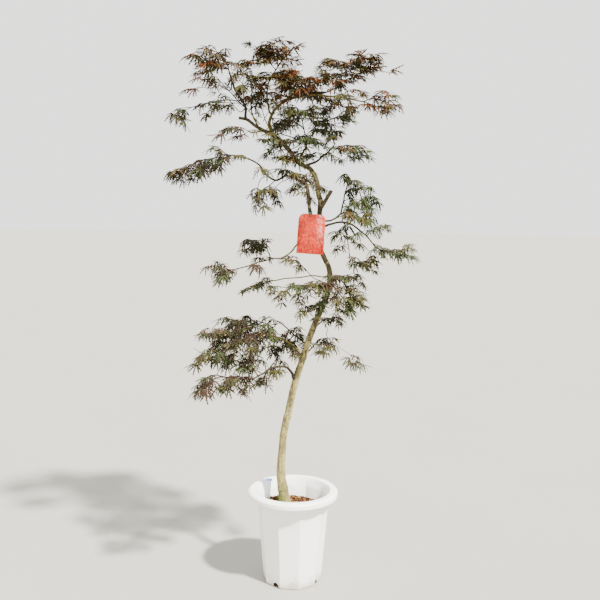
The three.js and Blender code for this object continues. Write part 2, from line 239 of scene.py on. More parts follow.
# Tufts that fill the crown between its masses, by the mass that they grow with: middle and reach of each.
TUFTS = {
    "central": [
        (-0.11, -0.04, 1.71, 0.04), (-0.12, 0.06, 1.67, 0.035), (-0.03, -0.06, 1.65, 0.04),
        (0.03, 0.07, 1.68, 0.04), (0.08, -0.02, 1.66, 0.035),
    ],
    "far_right": [
        (0.14, -0.05, 1.63, 0.035), (0.22, -0.15, 1.6, 0.028), (0.27, -0.15, 1.6, 0.024),
        (0.18, -0.05, 1.67, 0.026),
    ],
    "left_droop": [
        (-0.38, -0.12, 1.4, 0.025), (-0.35, -0.09, 1.41, 0.03),
    ],
    "left_low": [
        (-0.25, -0.1, 1.11, 0.022), (-0.2, -0.09, 1.06, 0.022),
    ],
    "left_tip": [
        (-0.27, -0.04, 1.63, 0.02), (-0.29, -0.06, 1.59, 0.02),
    ],
    "lower_left": [
        (-0.22, 0.06, 0.76, 0.035), (-0.16, -0.06, 0.77, 0.035), (-0.12, 0.02, 0.77, 0.03),
        (-0.15, -0.09, 0.84, 0.035), (-0.08, 0.04, 0.81, 0.03), (-0.33, -0.04, 0.81, 0.024),
        (-0.06, 0.03, 0.75, 0.02), (0.0, -0.03, 0.815, 0.024),
    ],
    "lower_left_top": [
        (-0.27, -0.03, 0.87, 0.045), (-0.22, 0.05, 0.9, 0.04), (-0.01, 0.03, 0.85, 0.03),
        (-0.03, 0.06, 0.8, 0.026),
    ],
    "lower_right": [
        (0.2, -0.04, 0.77, 0.02),
    ],
    "lowest": [
        (-0.18, -0.1, 0.73, 0.03), (-0.3, -0.12, 0.71, 0.03), (-0.26, -0.14, 0.73, 0.03),
        (-0.1, -0.08, 0.7, 0.026),
    ],
    "mid_centre": [
        (-0.07, -0.07, 1.51, 0.04), (-0.02, 0.06, 1.51, 0.045), (-0.02, -0.08, 1.45, 0.035),
        (-0.07, -0.04, 1.46, 0.03),
    ],
    "mid_right": [
        (0.02, -0.06, 1.6, 0.04), (0.08, 0.06, 1.63, 0.04), (0.03, -0.03, 1.51, 0.04),
    ],
    "mid_right_low": [
        (0.03, 0.1, 1.47, 0.035), (0.135, -0.05, 1.515, 0.028),
    ],
    "over_card": [
        (-0.09, -0.08, 1.34, 0.022), (-0.06, -0.04, 1.415, 0.02),
    ],
    "right_low": [
        (0.195, 0.0, 1.11, 0.014),
    ],
    "right_mid": [
        (0.145, 0.0, 1.21, 0.014), (0.21, 0.0, 1.165, 0.016),
    ],
    "right_tip": [
        (0.32, -0.02, 1.155, 0.018), (0.26, -0.03, 1.125, 0.014),
    ],
    "right_upper": [
        (0.2, 0.04, 1.27, 0.024), (0.17, 0.04, 1.4, 0.02), (0.165, 0.04, 1.41, 0.012),
        (0.205, 0.03, 1.31, 0.022), (0.235, 0.04, 1.345, 0.02), (0.26, 0.05, 1.315, 0.022),
    ],
    "top": [
        (-0.16, -0.03, 1.75, 0.03), (-0.13, 0.03, 1.81, 0.04), (-0.08, -0.04, 1.76, 0.035),
        (-0.065, -0.04, 1.745, 0.024), (0.01, -0.04, 1.765, 0.012),
    ],
    "top_left": [
        (-0.25, -0.06, 1.8, 0.025), (-0.21, -0.08, 1.78, 0.022), (-0.26, -0.06, 1.745, 0.024),
    ],
    "top_right": [
        (0.13, 0.05, 1.77, 0.04), (0.18, -0.01, 1.76, 0.04), (0.16, -0.04, 1.71, 0.035),
        (0.12, 0.07, 1.73, 0.035), (0.14, -0.02, 1.75, 0.03), (0.29, -0.04, 1.74, 0.02),
    ],
    "trunk_front": [
        (-0.06, -0.03, 1.01, 0.035), (0.09, -0.07, 1.02, 0.032), (0.06, -0.07, 1.05, 0.022),
        (-0.01, -0.06, 1.12, 0.022), (0.09, -0.11, 1.04, 0.035), (0.12, -0.09, 0.99, 0.03),
    ],
    "trunk_right": [
        (0.11, -0.04, 0.97, 0.03), (0.15, -0.02, 1.06, 0.03), (0.2, 0.01, 1.06, 0.028),
        (0.15, -0.04, 0.96, 0.028), (0.19, 0.02, 0.96, 0.024), (0.14, -0.06, 1.065, 0.024),
    ],
    "trunk_right_low": [
        (0.1, -0.03, 0.81, 0.02),
    ],
}

# Long twigs that run bare before they leaf: whose growth they belong to, their two ends and thickness.
LEADS = [
    ("top_left", (-0.171, 0.0, 1.620), (-0.26, -0.07, 1.708), 0.0024),
    ("top_left", (-0.177, 0.0, 1.633), (-0.235, -0.06, 1.694), 0.0018),
    ("top_left", (-0.187, 0.0, 1.606), (-0.278, -0.05, 1.692), 0.0017),
    ("top_left", (-0.228, -0.060, 1.681), (-0.19, -0.06, 1.758), 0.0013),
    ("top", (-0.167, 0.0, 1.633), (-0.114, -0.02, 1.708), 0.0019),
    ("top", (-0.164, 0.0, 1.626), (-0.142, 0.01, 1.694), 0.0017),
    ("left_tip", (-0.187, -0.010, 1.634), (-0.275, -0.05, 1.621), 0.0014),
]

# Sky between the sprays as the camera sees it, where nothing leafs: x and z on the plane y = 0, and reach.
OPENINGS = [
    (-0.12, 1.86, 0.024), (-0.08, 1.86, 0.017), (-0.165, 1.81, 0.024), (0.11, 1.81, 0.024),
    (0.04, 1.8, 0.034), (-0.415, 1.8, 0.02), (-0.215, 1.795, 0.02), (0.305, 1.76, 0.02),
    (-0.36, 1.755, 0.022), (0.03, 1.75, 0.027), (-0.08, 1.705, 0.013), (-0.365, 1.7, 0.027),
    (-0.32, 1.69, 0.02), (-0.21, 1.685, 0.017), (0.105, 1.68, 0.022), (-0.265, 1.67, 0.017),
    (-0.16, 1.67, 0.017), (0.365, 1.66, 0.02), (-0.32, 1.655, 0.022), (-0.37, 1.64, 0.027),
    (-0.355, 1.62, 0.012), (0.135, 1.61, 0.017), (-0.305, 1.605, 0.015), (-0.105, 1.605, 0.022),
    (0.345, 1.605, 0.02), (-0.07, 1.6, 0.015), (0.14, 1.57, 0.024), (-0.115, 1.565, 0.022),
    (0.2, 1.54, 0.04), (0.15, 1.51, 0.02), (0.29, 1.475, 0.02), (-0.365, 1.46, 0.024),
    (0.14, 1.36, 0.027), (0.135, 1.31, 0.027), (-0.165, 1.31, 0.024), (0.3, 1.27, 0.027),
    (0.24, 1.195, 0.017), (0.29, 1.18, 0.012), (-0.045, 1.16, 0.02), (0.245, 1.155, 0.014),
    (0.325, 1.13, 0.012), (-0.105, 1.105, 0.017), (0.3, 1.1, 0.022), (0.35, 1.1, 0.022),
    (0.04, 1.065, 0.015), (-0.06, 1.06, 0.017), (-0.01, 1.055, 0.02), (0.25, 1.055, 0.024),
    (-0.16, 1.055, 0.02), (-0.055, 1.01, 0.015), (-0.11, 1.0, 0.02), (-0.15, 1.0, 0.017),
    (-0.11, 0.95, 0.027), (-0.01, 0.95, 0.024), (-0.06, 0.94, 0.017), (-0.32, 0.905, 0.02),
    (0.2, 0.9, 0.03), (-0.37, 0.79, 0.02), (-0.045, 0.75, 0.015), (-0.36, 0.68, 0.017),
    (-0.265, 0.63, 0.03), (-0.21, 0.63, 0.024),
]

# Young yellow-green shoots by the elbow of the leader: their two ends and thickness.
SHOOTS = [
    ((-0.122, 0.0, 1.566), (-0.168, -0.01, 1.622), 0.0021),
    ((-0.088, 0.0, 1.545), (-0.118, 0.0, 1.625), 0.0024),
    ((-0.112, -0.004, 1.575), (-0.06, -0.02, 1.64), 0.0015),
]

# Each mass's leaf colours, and their shares; the others go by their slot.
SHARES = {
    "leaf_bronze": {"rust": 0.24, "bronze": 0.3, "olive": 0.28, "plum": 0.1, "umber": 0.08},
    "leaf_olive": {"olive": 0.42, "green": 0.36, "bronze": 0.08, "plum": 0.06, "umber": 0.08},
    "leaf_dark": {"umber": 0.3, "plum": 0.18, "olive": 0.26, "green": 0.16, "bronze": 0.1},
    "central": {"rust": 0.38, "bronze": 0.24, "olive": 0.38},
    "right_upper": {"green": 0.8, "olive": 0.2},
    "right_mid": {"green": 0.65, "olive": 0.35},
    "left_mid": {"umber": 0.35, "plum": 0.35, "olive": 0.3},
    "left_tip": {"olive": 0.4, "green": 0.25, "umber": 0.25, "bronze": 0.1},
    "over_card": {"olive": 0.35, "green": 0.25, "plum": 0.2, "umber": 0.2},
    "below_leader": {"olive": 0.3, "green": 0.2, "plum": 0.25, "umber": 0.25},
    "right_tip": {"green": 0.6, "olive": 0.4},
    "mid_right_low": {"green": 0.45, "olive": 0.45, "bronze": 0.1},
    "lowest": {"umber": 0.4, "plum": 0.2, "olive": 0.2, "green": 0.2},
    "lower_left_top": {"plum": 0.3, "umber": 0.4, "bronze": 0.1, "green": 0.2},
    "left_droop": {"umber": 0.4, "plum": 0.2, "bronze": 0.15, "green": 0.25},
    "left_low": {"umber": 0.4, "plum": 0.2, "green": 0.4},
    "left_dark": {"umber": 0.5, "plum": 0.25, "green": 0.25},
    "left_small": {"olive": 0.3, "green": 0.35, "umber": 0.35},
    "trunk_front": {"olive": 0.34, "green": 0.24, "umber": 0.24, "plum": 0.1, "bronze": 0.08},
    "lower_left": {"plum": 0.18, "umber": 0.3, "olive": 0.26, "green": 0.26},
}

# Each leaf colour, and the slot that it goes in.
LEAF_COLORS = {
    "rust": ((0.115, 0.038, 0.009, 1), "leaf_bronze"),
    "bronze": ((0.072, 0.042, 0.012, 1), "leaf_bronze"),
    "olive": ((0.057, 0.052, 0.014, 1), "leaf_olive"),
    "green": ((0.041, 0.053, 0.018, 1), "leaf_olive"),
    "umber": ((0.034, 0.028, 0.012, 1), "leaf_dark"),
    "plum": ((0.038, 0.022, 0.013, 1), "leaf_dark"),
}


# ---- Materials ---------------------------------------------------------------------------------------

class Field:
    """A socket of a material's nodes. Arithmetic on it adds Math nodes."""

    def __init__(self, paint, socket):
        self.paint = paint
        self.socket = socket

    def math(self, operation, first, second=0.0):
        return self.paint.node("ShaderNodeMath", {"operation": operation}, {0: first, 1: second})

    def __add__(self, other):
        return self.math("ADD", self, other)

    def __sub__(self, other):
        return self.math("SUBTRACT", self, other)

    def __rsub__(self, other):
        return self.math("SUBTRACT", other, self)

    def __mul__(self, other):
        return self.math("MULTIPLY", self, other)

    __radd__ = __add__
    __rmul__ = __mul__

    def ramp(self, low, high):
        """0 where the field is at low and 1 where it is at high, clamped."""
        settings = {"clamp": True}
        return self.paint.node("ShaderNodeMapRange", settings, {0: self, 1: low, 2: high})


class Paint:
    """A material with one Principled shader and the nodes that feed it."""

    def __init__(self, name, shine):
        self.material = bpy.data.materials.new(name)
        self.material.use_nodes = True
        self.tree = self.material.node_tree
        self.tree.nodes.clear()
        self.shader = self.tree.nodes.new("ShaderNodeBsdfPrincipled")
        output = self.tree.nodes.new("ShaderNodeOutputMaterial")
        self.tree.links.new(self.shader.outputs[0], output.inputs["Surface"])
        self.set("Specular IOR Level", shine)

    def feed(self, socket, value):
        if isinstance(value, Field):
            self.tree.links.new(value.socket, socket)
        else:
            socket.default_value = value

    def node(self, kind, settings, inputs, output=0):
        made = self.tree.nodes.new(kind)
        for name, value in settings.items():
            setattr(made, name, value)
        for socket, value in inputs.items():
            self.feed(made.inputs[socket], value)
        return Field(self, made.outputs[output])

    def set(self, socket, value):
        self.feed(self.shader.inputs[socket], value)

    def place(self, stretch=(1, 1, 1)):
        """Object coordinates, with each axis multiplied by its stretch."""
        where = self.node("ShaderNodeTexCoord", {}, {}, 3)
        return self.node("ShaderNodeMapping", {}, {"Vector": where, "Scale": stretch})

    def along(self, axis):
        """The place along one axis: 0 for x, 1 for y and 2 for z."""
        return self.node("ShaderNodeSeparateXYZ", {}, {0: self.place()}, axis)

    def height(self):
        """The height above the ground."""
        return self.along(2)

    def noise(self, scale, detail, stretch=(1, 1, 1)):
        inputs = {"Vector": self.place(stretch), "Scale": scale, "Detail": detail, "Roughness": 0.55}
        return self.node("ShaderNodeTexNoise", {}, inputs)

    def cells(self, scale):
        return self.node("ShaderNodeTexVoronoi", {}, {"Vector": self.place(), "Scale": scale})

    def mix(self, factor, first, second):
        settings = {"data_type": "RGBA"}
        return self.node("ShaderNodeMix", settings, {0: factor, 6: first, 7: second}, 2)

    def bump(self, height, distance, strength):
        inputs = {"Height": height, "Distance": distance, "Strength": strength}
        self.set("Normal", self.node("ShaderNodeBump", {}, inputs))

    def finish(self, color, roughness):
        self.set("Base Color", color)
        self.set("Roughness", roughness)
        return self.material


def bark_paint():
    paint = Paint("bark", 0.12)
    streaks = paint.noise(95, 5, (1, 1, 0.16))
    patches = paint.noise(30, 5, (1, 1, 0.55))
    mottles = paint.noise(110, 4, (1, 1, 0.7)).ramp(0.52, 0.62)
    pores = paint.noise(250, 2, (1, 1, 3.2)).ramp(0.62, 0.68)
    flecks = paint.noise(55, 4, (1, 1, 0.6)).ramp(0.57, 0.65)
    height = paint.height()
    foot = height.ramp(0.4, 0.26)
    older = height.ramp(0.4, 0.8)
    young = height.ramp(0.85, 1.1)
    cream = (0.36, 0.3, 0.118, 1)
    grey = (0.125, 0.112, 0.05, 1)
    brown = (0.04, 0.032, 0.015, 1)
    color = paint.mix(streaks.ramp(0.42, 0.66), cream, grey)
    color = paint.mix(patches.ramp(0.49, 0.57) * (older * 0.7 + 0.2), color, brown)
    color = paint.mix(mottles * (older * 0.5 + 0.35), color, brown)
    color = paint.mix(young * streaks.ramp(0.66, 0.54) * 0.92, color, brown)
    pale = paint.mix(height.ramp(1.2, 1.38), (0.44, 0.38, 0.22, 1), (0.19, 0.165, 0.05, 1))
    color = paint.mix(flecks * 0.75, color, pale)
    color = paint.mix(foot * patches.ramp(0.42, 0.58) * 0.5, color, (0.22, 0.2, 0.05, 1))
    moss = height.ramp(0.32, 0.275) * paint.along(0).ramp(-0.026, -0.04)
    color = paint.mix(moss * 0.85, color, (0.12, 0.2, 0.03, 1))
    color = paint.mix(pores * 0.6, color, (0.03, 0.024, 0.014, 1))
    paint.bump(streaks + pores * 0.4, 0.0014, 0.8)
    return paint.finish(color, patches * 0.2 + 0.7)


def bough_paint(name, pale, dark, old=None):
    """Bark in a pale and a dark tone. With an old tone, the outer left boughs have turned that."""
    paint = Paint(name, 0.15)
    streaks = paint.noise(120, 4)
    patches = paint.noise(28, 2)
    color = paint.mix(streaks.ramp(0.35, 0.7), pale, dark)
    color = paint.mix(patches.ramp(0.55, 0.75) * 0.6, color, dark)
    if old:
        height = paint.height()
        outer = paint.along(0).ramp(-0.055, -0.075) * height.ramp(1.07, 1.09) * height.ramp(1.3, 1.28)
        color = paint.mix(outer * 0.9, color, old)
    paint.bump(streaks, 0.0006, 0.6)
    return paint.finish(color, streaks * 0.3 + 0.5)


def leaf_paint(name, color):
    paint = Paint(name, 0.12)
    return paint.finish(color, paint.noise(60, 2) * 0.3 + 0.45)


def pot_paint():
    paint = Paint("pot_plastic", 0.5)
    haze = paint.noise(9, 4)
    scuffs = paint.noise(55, 5, (1, 1, 0.25)).ramp(0.6, 0.74)
    height = paint.height()
    low = height.ramp(0.07, 0.0)
    dust = paint.noise(34, 5) * 0.9 + low * 0.5
    color = paint.mix(haze.ramp(0.4, 0.7), (0.93, 0.94, 0.91, 1), (0.88, 0.9, 0.87, 1))
    color = paint.mix(scuffs * 0.12, color, (0.55, 0.53, 0.47, 1))
    # Painted shade: inside the pot, low down by its floor, the plastic is coloured near-black so that the
    # notches look dark.
    out = paint.node("ShaderNodeVectorMath", {"operation": "LENGTH"}, {0: paint.place((1, 1, 0))}, 1)
    inside = out.ramp(0.0945, 0.0925) * height.ramp(0.03, 0.02)
    color = paint.mix(dust.ramp(0.62, 0.95) * low * 0.8, color, (0.4, 0.33, 0.22, 1))
    color = paint.mix(height.ramp(0.004, 0.001) * 0.6, color, (0.2, 0.16, 0.1, 1))
    # Painted shade on the pot's inner floor.
    color = paint.mix(inside, color, (0.01, 0.007, 0.005, 1))
    paint.bump(paint.noise(140, 2), 0.0002, 0.35)
    return paint.finish(color, haze * 0.2 + scuffs * 0.2 + 0.26)


def soil_paint(name, pale, dark):
    paint = Paint(name, 0.08)
    crumbs = paint.cells(240)
    grain = paint.noise(420, 4)
    color = paint.mix(grain.ramp(0.3, 0.7), pale, dark)
    paint.bump(crumbs + grain, 0.0012, 0.8)
    return paint.finish(color, grain * 0.15 + 0.82)


def card_paint():
    paint = Paint("card_print", 0.12)
    low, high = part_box("card")
    across = paint.along(0)
    width = high.x - low.x
    right = across.ramp(low.x + 0.66 * width, low.x + 0.76 * width)
    right = right * across.ramp(low.x + 0.95 * width, low.x + 0.85 * width)
    up = paint.height().ramp(low.z + 0.02, high.z - 0.02)
    blotches = paint.noise(70, 4)
    flecks = paint.noise(170, 3)
    scratches = paint.noise(260, 4, (1, 1, 0.35)).ramp(0.52, 0.6)
    coral = (0.56, 0.034, 0.014, 1)
    color = paint.mix(blotches.ramp(0.44, 0.62), coral, (0.4, 0.02, 0.01, 1))
    color = paint.mix((up * 0.8 + 0.2) * flecks.ramp(0.5, 0.64) * 0.5, color, (0.66, 0.17, 0.12, 1))
    color = paint.mix(right * up * flecks.ramp(0.42, 0.66) * 0.85, color, (0.6, 0.42, 0.36, 1))
    color = paint.mix(scratches * (0.9 - up * 0.65), color, (0.1, 0.03, 0.012, 1))
    return paint.finish(color, blotches * 0.15 + 0.4)


def label_paint():
    paint = Paint("label_plastic", 0.25)
    haze = paint.noise(60, 3)
    # Darker towards the soil: soil dirt on the blade, with painted shade where the blade meets the soil.
    foot = paint.height().ramp(0.285, 0.258)
    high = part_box("plant_label")[1].z
    top = paint.height().ramp(high - 0.011, high - 0.008)
    color = paint.mix(haze.ramp(0.4, 0.7), (0.76, 0.86, 0.92, 1), (0.66, 0.77, 0.84, 1))
    color = paint.mix(top, color, (0.36, 0.55, 1.0, 1))
    # Soil dirt and painted shade at the blade's foot.
    color = paint.mix(foot * haze * 0.8, color, (0.14, 0.09, 0.05, 1))
    return paint.finish(color, haze * 0.2 + 0.3)


def tie_paint():
    paint = Paint("tie_wire", 0.4)
    wear = paint.noise(300, 3)
    color = paint.mix(wear.ramp(0.45, 0.75), (0.02, 0.22, 0.1, 1), (0.05, 0.32, 0.17, 1))
    return paint.finish(color, wear * 0.2 + 0.35)


def floor_paint():
    paint = Paint("studio_floor", 0.1)
    haze = paint.noise(1.5, 3)
    color = paint.mix(haze, (0.36, 0.345, 0.31, 1), (0.33, 0.318, 0.285, 1))
    return paint.finish(color, haze * 0.1 + 0.8)


# ---- Making meshes -----------------------------------------------------------------------------------

def deselect():
    bpy.ops.object.select_all(action="DESELECT")


def active(name):
    """Names the object that was just added, and returns it."""
    made = bpy.context.object
    made.name = name
    made.data.name = name
    return made


def linked(name, data):
    """A new object of the scene with its data."""
    made = bpy.data.objects.new(name, data)
    bpy.context.scene.collection.objects.link(made)
    return made


def edit():
    """Starts to edit the active piece, all of it selected."""
    bpy.ops.object.mode_set(mode="EDIT")
    bpy.ops.mesh.select_all(action="SELECT")


def end_edit():
    bpy.ops.object.mode_set(mode="OBJECT")


def pick(piece, kind, wanted):
    """Selects the piece's wanted corners or edges, and nothing else."""
    bpy.ops.mesh.select_all(action="DESELECT")
    for item in getattr(bmesh.from_edit_mesh(piece.data), kind):
        item.select_set(wanted(item))
    bmesh.update_edit_mesh(piece.data)


def draw_up(piece, rise, height):
    """Extrudes what is selected to each radius and level in turn; the third number is how round it gets."""
    for radius, level, roundness in rise:
        bpy.ops.mesh.extrude_region_move(TRANSFORM_OT_translate={"value": (0, 0, level - height)})
        if roundness:
            bpy.ops.transform.tosphere(value=roundness, center_override=(0, 0, level))
        work = bmesh.from_edit_mesh(piece.data)
        grow = radius / max(corner.co.xy.length for corner in work.verts if corner.select)
        bpy.ops.transform.resize(value=(grow, grow, 1), center_override=(0, 0, level))
        height = level


def finish_piece(piece, paint, replaced=()):
    """Lays the piece's place into its mesh, gives it its material and body, and hides the CAD nodes that it
    replaces.
    """
    piece.data.transform(piece.matrix_world)
    piece.matrix_world = Matrix.Identity(4)
    piece.data.materials.clear()
    piece.data.materials.append(paint)
    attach(piece, "root")
    if replaced:
        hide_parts(*replaced)


def use(piece):
    deselect()
    piece.select_set(True)
    bpy.context.view_layer.objects.active = piece


def modify(piece, kind, settings):
    use(piece)
    modifier = piece.modifiers.new(kind.lower(), kind)
    for name, value in settings.items():
        setattr(modifier, name, value)
    bpy.ops.object.modifier_apply(modifier=modifier.name)


def smooth(piece, degrees):
    use(piece)
    bpy.ops.object.shade_smooth_by_angle(angle=math.radians(degrees))


def join(pieces, name):
    deselect()
    for piece in pieces:
        piece.select_set(True)
    bpy.context.view_layer.objects.active = pieces[0]
    bpy.ops.object.join()
    return active(name)


class Heap:
    """Corners and triangles of many small things that become one mesh."""

    def __init__(self):
        self.corners = []
        self.faces = []
        self.count = 0

    def add(self, corners, faces):
        self.corners.append(corners)
        self.faces.append(faces + self.count)
        self.count += len(corners)

    def piece(self, name):
        mesh = bpy.data.meshes.new(name)
        corners = np.concatenate(self.corners)
        faces = np.concatenate(self.faces)
        mesh.from_pydata(corners.tolist(), [], faces.tolist(), shade_flat=False)
        return linked(name, mesh)


def merged(node):
    """A CAD node's mesh as a bmesh of its own, with its doubles merged."""
    work = bmesh.new()
    work.from_mesh(NODES[node].data)
    bmesh.ops.remove_doubles(work, verts=work.verts, dist=MERGE)
    work.verts.index_update()
    work.verts.ensure_lookup_table()
    return work


# ---- Finding the limbs again -------------------------------------------------------------------------

def walk(near, start):
    """The distance along the edges from one corner to each corner."""
    far = [math.inf] * len(near)
    far[start] = 0.0
    queue = [(0.0, start)]
    while queue:
        gone, corner = heapq.heappop(queue)
        if gone > far[corner]:
            continue
        for other, length in near[corner]:
            if gone + length < far[other]:
                far[other] = gone + length
                heapq.heappush(queue, (gone + length, other))
    return np.array(far)


def distances(points):
    """How far along a line each of its points lies."""
    return np.concatenate([[0.0], np.cumsum(np.linalg.norm(np.diff(points, axis=0), axis=1))])


def resample(points, radii, step):
    """A smooth curve through the points, as points a step apart, with the radius at each."""
    points = np.asarray(points, float)
    radii = np.asarray(radii, float)
    knots = distances(points)
    spans = np.diff(knots)
    slopes = np.gradient(points, knots, axis=0)
    places = np.linspace(0, knots[-1], max(3, int(round(knots[-1] / step)) + 1))
    before = np.clip(np.searchsorted(knots, places, side="right") - 1, 0, len(spans) - 1)
    width = spans[before][:, None]
    t = ((places - knots[before]) / spans[before])[:, None]
    start = points[before] * (2 * t**3 - 3 * t**2 + 1) + slopes[before] * width * (t**3 - 2 * t**2 + t)
    end = points[before + 1] * (3 * t**2 - 2 * t**3) + slopes[before + 1] * width * (t**3 - t**2)
    return start + end, np.interp(places, knots, radii)


class Limb:
    """One limb's middle line and thickness, found again in its CAD node."""

    RING_GAP = 0.006
    ASIDE = 0.021

    def __init__(self, node):
        work = merged(node)
        corners = np.array([corner.co[:] for corner in work.verts])
        near = [[(e.other_vert(v).index, e.calc_length()) for e in v.link_edges] for v in work.verts]
        work.free()
        first = int(np.argmax(walk(near, 0)))
        from_first = walk(near, first)
        last = int(np.argmax(from_first))
        from_last = walk(near, last)
        length = from_first[last]
        along = (from_first - from_last + length) / 2
        aside = (from_first + from_last - length) / 2
        self.stray = corners[aside > self.ASIDE]
        kept = aside <= self.ASIDE
        self.read_rings(corners[kept], along[kept])

    def read_rings(self, corners, along):
        order = np.argsort(along)
        breaks = np.where(np.diff(along[order]) > self.RING_GAP)[0] + 1
        self.points = []
        self.radii = []
        for ring in np.split(order, breaks):
            middle = corners[ring].mean(axis=0)
            reach = np.linalg.norm(corners[ring] - middle, axis=1)
            outer = reach[reach > 0.5 * reach.max()] if len(ring) > 2 else reach
            self.points.append(middle)
            self.radii.append(float(outer.mean()))
        self.points = np.array(self.points)
        self.radii = np.array(self.radii)

    def turn_round(self):
        self.points = self.points[::-1]
        self.radii = self.radii[::-1]


def surface(node):
    work = merged(node)
    tree = BVHTree.FromBMesh(work)
    work.free()
    return tree


def find_limbs():
    """Every limb, base first: stems stand up, and a bough's base is the end that meets another limb."""
    limbs = {node: Limb(node) for node in STEMS + BOUGHS}
    surfaces = {node: surface(node) for node in limbs}
    for node, limb in limbs.items():
        if node in STEMS:
            if limb.points[0][2] > limb.points[-1][2]:
                limb.turn_round()
            continue
        gaps = []
        for end in (limb.points[0], limb.points[-1]):
            others = [tree for name, tree in surfaces.items() if name != node]
            gaps.append(min(tree.find_nearest(Vector(end))[3] for tree in others))
        if gaps[1] < gaps[0]:
            limb.turn_round()
    return limbs


# ---- Bark --------------------------------------------------------------------------------------------

def bark_tube(name, points, radii, sides):
    """A tube of bark along a line, as a bevelled curve made into a mesh."""
    curve = bpy.data.curves.new(name, "CURVE")
    curve.dimensions = "3D"
    curve.bevel_depth = 1.0
    curve.bevel_resolution = max(0, (sides - 4) // 2)
    curve.use_fill_caps = True
    spline = curve.splines.new("POLY")
    spline.points.add(len(points) - 1)
    for knot, place, radius in zip(spline.points, points, radii):
        knot.co = (*place, 1.0)
        knot.radius = radius
    use(linked(name, curve))
    bpy.ops.object.convert(target="MESH")
    edit()
    bpy.ops.mesh.remove_doubles(threshold=MERGE)
    end_edit()
    return bpy.context.object


def carve(piece, relief, scale):
    """Moves each corner along its normal by the bark's lumps, ridges and rings."""
    mesh = piece.data
    moves = [corner.normal * relief * bark_height(corner.co, scale) for corner in mesh.vertices]
    for corner, move in zip(mesh.vertices, moves):
        corner.co += move
    mesh.update()


def bark_height(place, scale):
    lumps = noise.noise(place * (28 * scale))
    ridges = noise.noise(Vector((place.x * 190 * scale, place.y * 190 * scale, place.z * 26 * scale)))
    rings = noise.noise(Vector((place.x * 4, place.y * 4, place.z * 150 * scale)))
    return 1.1 * lumps + 0.6 * ridges + 0.5 * rings


def swollen(points, radii, collar, knots, rng):
    """The radii with a collar at the base and a few slight swellings where buds have been."""
    gone = distances(points)
    radii = radii * (1 + collar * np.exp(-gone / (1.6 * radii[0])))
    place = rng.uniform(0.5, 1.0) * knots
    while place < gone[-1]:
        radii = radii * (1 + rng.uniform(0.04, 0.12) * np.exp(-((gone - place) / (0.45 * radii)) ** 2))
        place += rng.uniform(0.7, 1.3) * knots
    return radii


def rooted(limb, limbs):
    """The limb's line, led back into the middle of the limb that it leaves."""
    base = limb.points[0]
    best = None
    for other in limbs.values():
        if other is limb:
            continue
        line, sizes = resample(other.points, other.radii, 0.005)
        gaps = np.linalg.norm(line - base, axis=1) - sizes
        spot = int(np.argmin(gaps))
        if best is None or gaps[spot] < best[0]:
            best = (gaps[spot], line[spot])
    lead = best[1] + (base - best[1]) * 0.25
    points = np.vstack([lead, limb.points])
    radii = np.concatenate([[limb.radii[0]], limb.radii])
    return points, radii


def root_flare(piece, middle):
    """Spreads the trunk's foot into low root ridges."""
    for corner in piece.data.vertices:
        above = max(corner.co.z - middle.z, 0)
        out = Vector((corner.co.x - middle.x, corner.co.y - middle.y, 0))
        ridge = max(math.cos(STEM_BARK["root_ridges"] * math.atan2(out.y, out.x) + 0.7), -0.3)
        fade = math.exp(-above / STEM_BARK["flare_height"])
        corner.co += out * (STEM_BARK["flare"] * fade * (0.45 + ridge))


def make_stems(limbs, paint):
    rng = random.Random(11)
    pieces = []
    for node in STEMS:
        points, radii = rooted(limbs[node], limbs)
        collar = STEM_BARK["collar"]
        if node == "trunk":
            points, radii = limbs[node].points.copy(), limbs[node].radii
            points[0][2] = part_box(node)[0].z - STEM_BARK["root_depth"]
            collar = 0.0
        points, radii = resample(points, radii, STEM_BARK["step"])
        radii = swollen(points, radii, collar, STEM_BARK["knots"], rng)
        tube = bark_tube(f"bark_{node}", points, radii, STEM_BARK["sides"][node])
        carve(tube, *STEM_BARK["relief"])
        if node == "trunk":
            root_flare(tube, Vector(points[0]))
        pieces.append(tube)
    stems = join(pieces, "stem_bark")
    smooth(stems, 60)
    finish_piece(stems, paint, STEMS)


def make_snag(leader, paint):
    """The stub of a pruned stem, cut off straight."""
    tip_side = leader.stray[leader.stray[:, 2] > leader.stray[:, 2].max() - 0.012]
    tip = tip_side.mean(axis=0)
    line, _ = resample(leader.points, leader.radii, 0.004)
    low = line[np.argmin(np.linalg.norm(line - (tip - np.array(SNAG["from_tip"])), axis=1))]
    points, radii = resample([low, (low + tip) / 2, tip], SNAG["radii"], STEM_BARK["step"])
    snag = bark_tube("bark_snag", points, radii, SNAG["sides"])
    carve(snag, *SNAG["relief"])
    smooth(snag, 60)
    finish_piece(snag, paint, ["leader"])


def wavy(points, rng):
    """The line with slight bends, still at both ends."""
    start = rng.uniform(0, 50)
    share = np.linspace(0, 1, len(points))
    calm = np.minimum(1, 8 * share * (1 - share))
    bends = [noise.noise_vector(Vector((start + i * 0.09, 0, 0)))[:] for i in range(len(points))]
    return points + BOUGH_BARK["bend"] * calm[:, None] * np.array(bends)


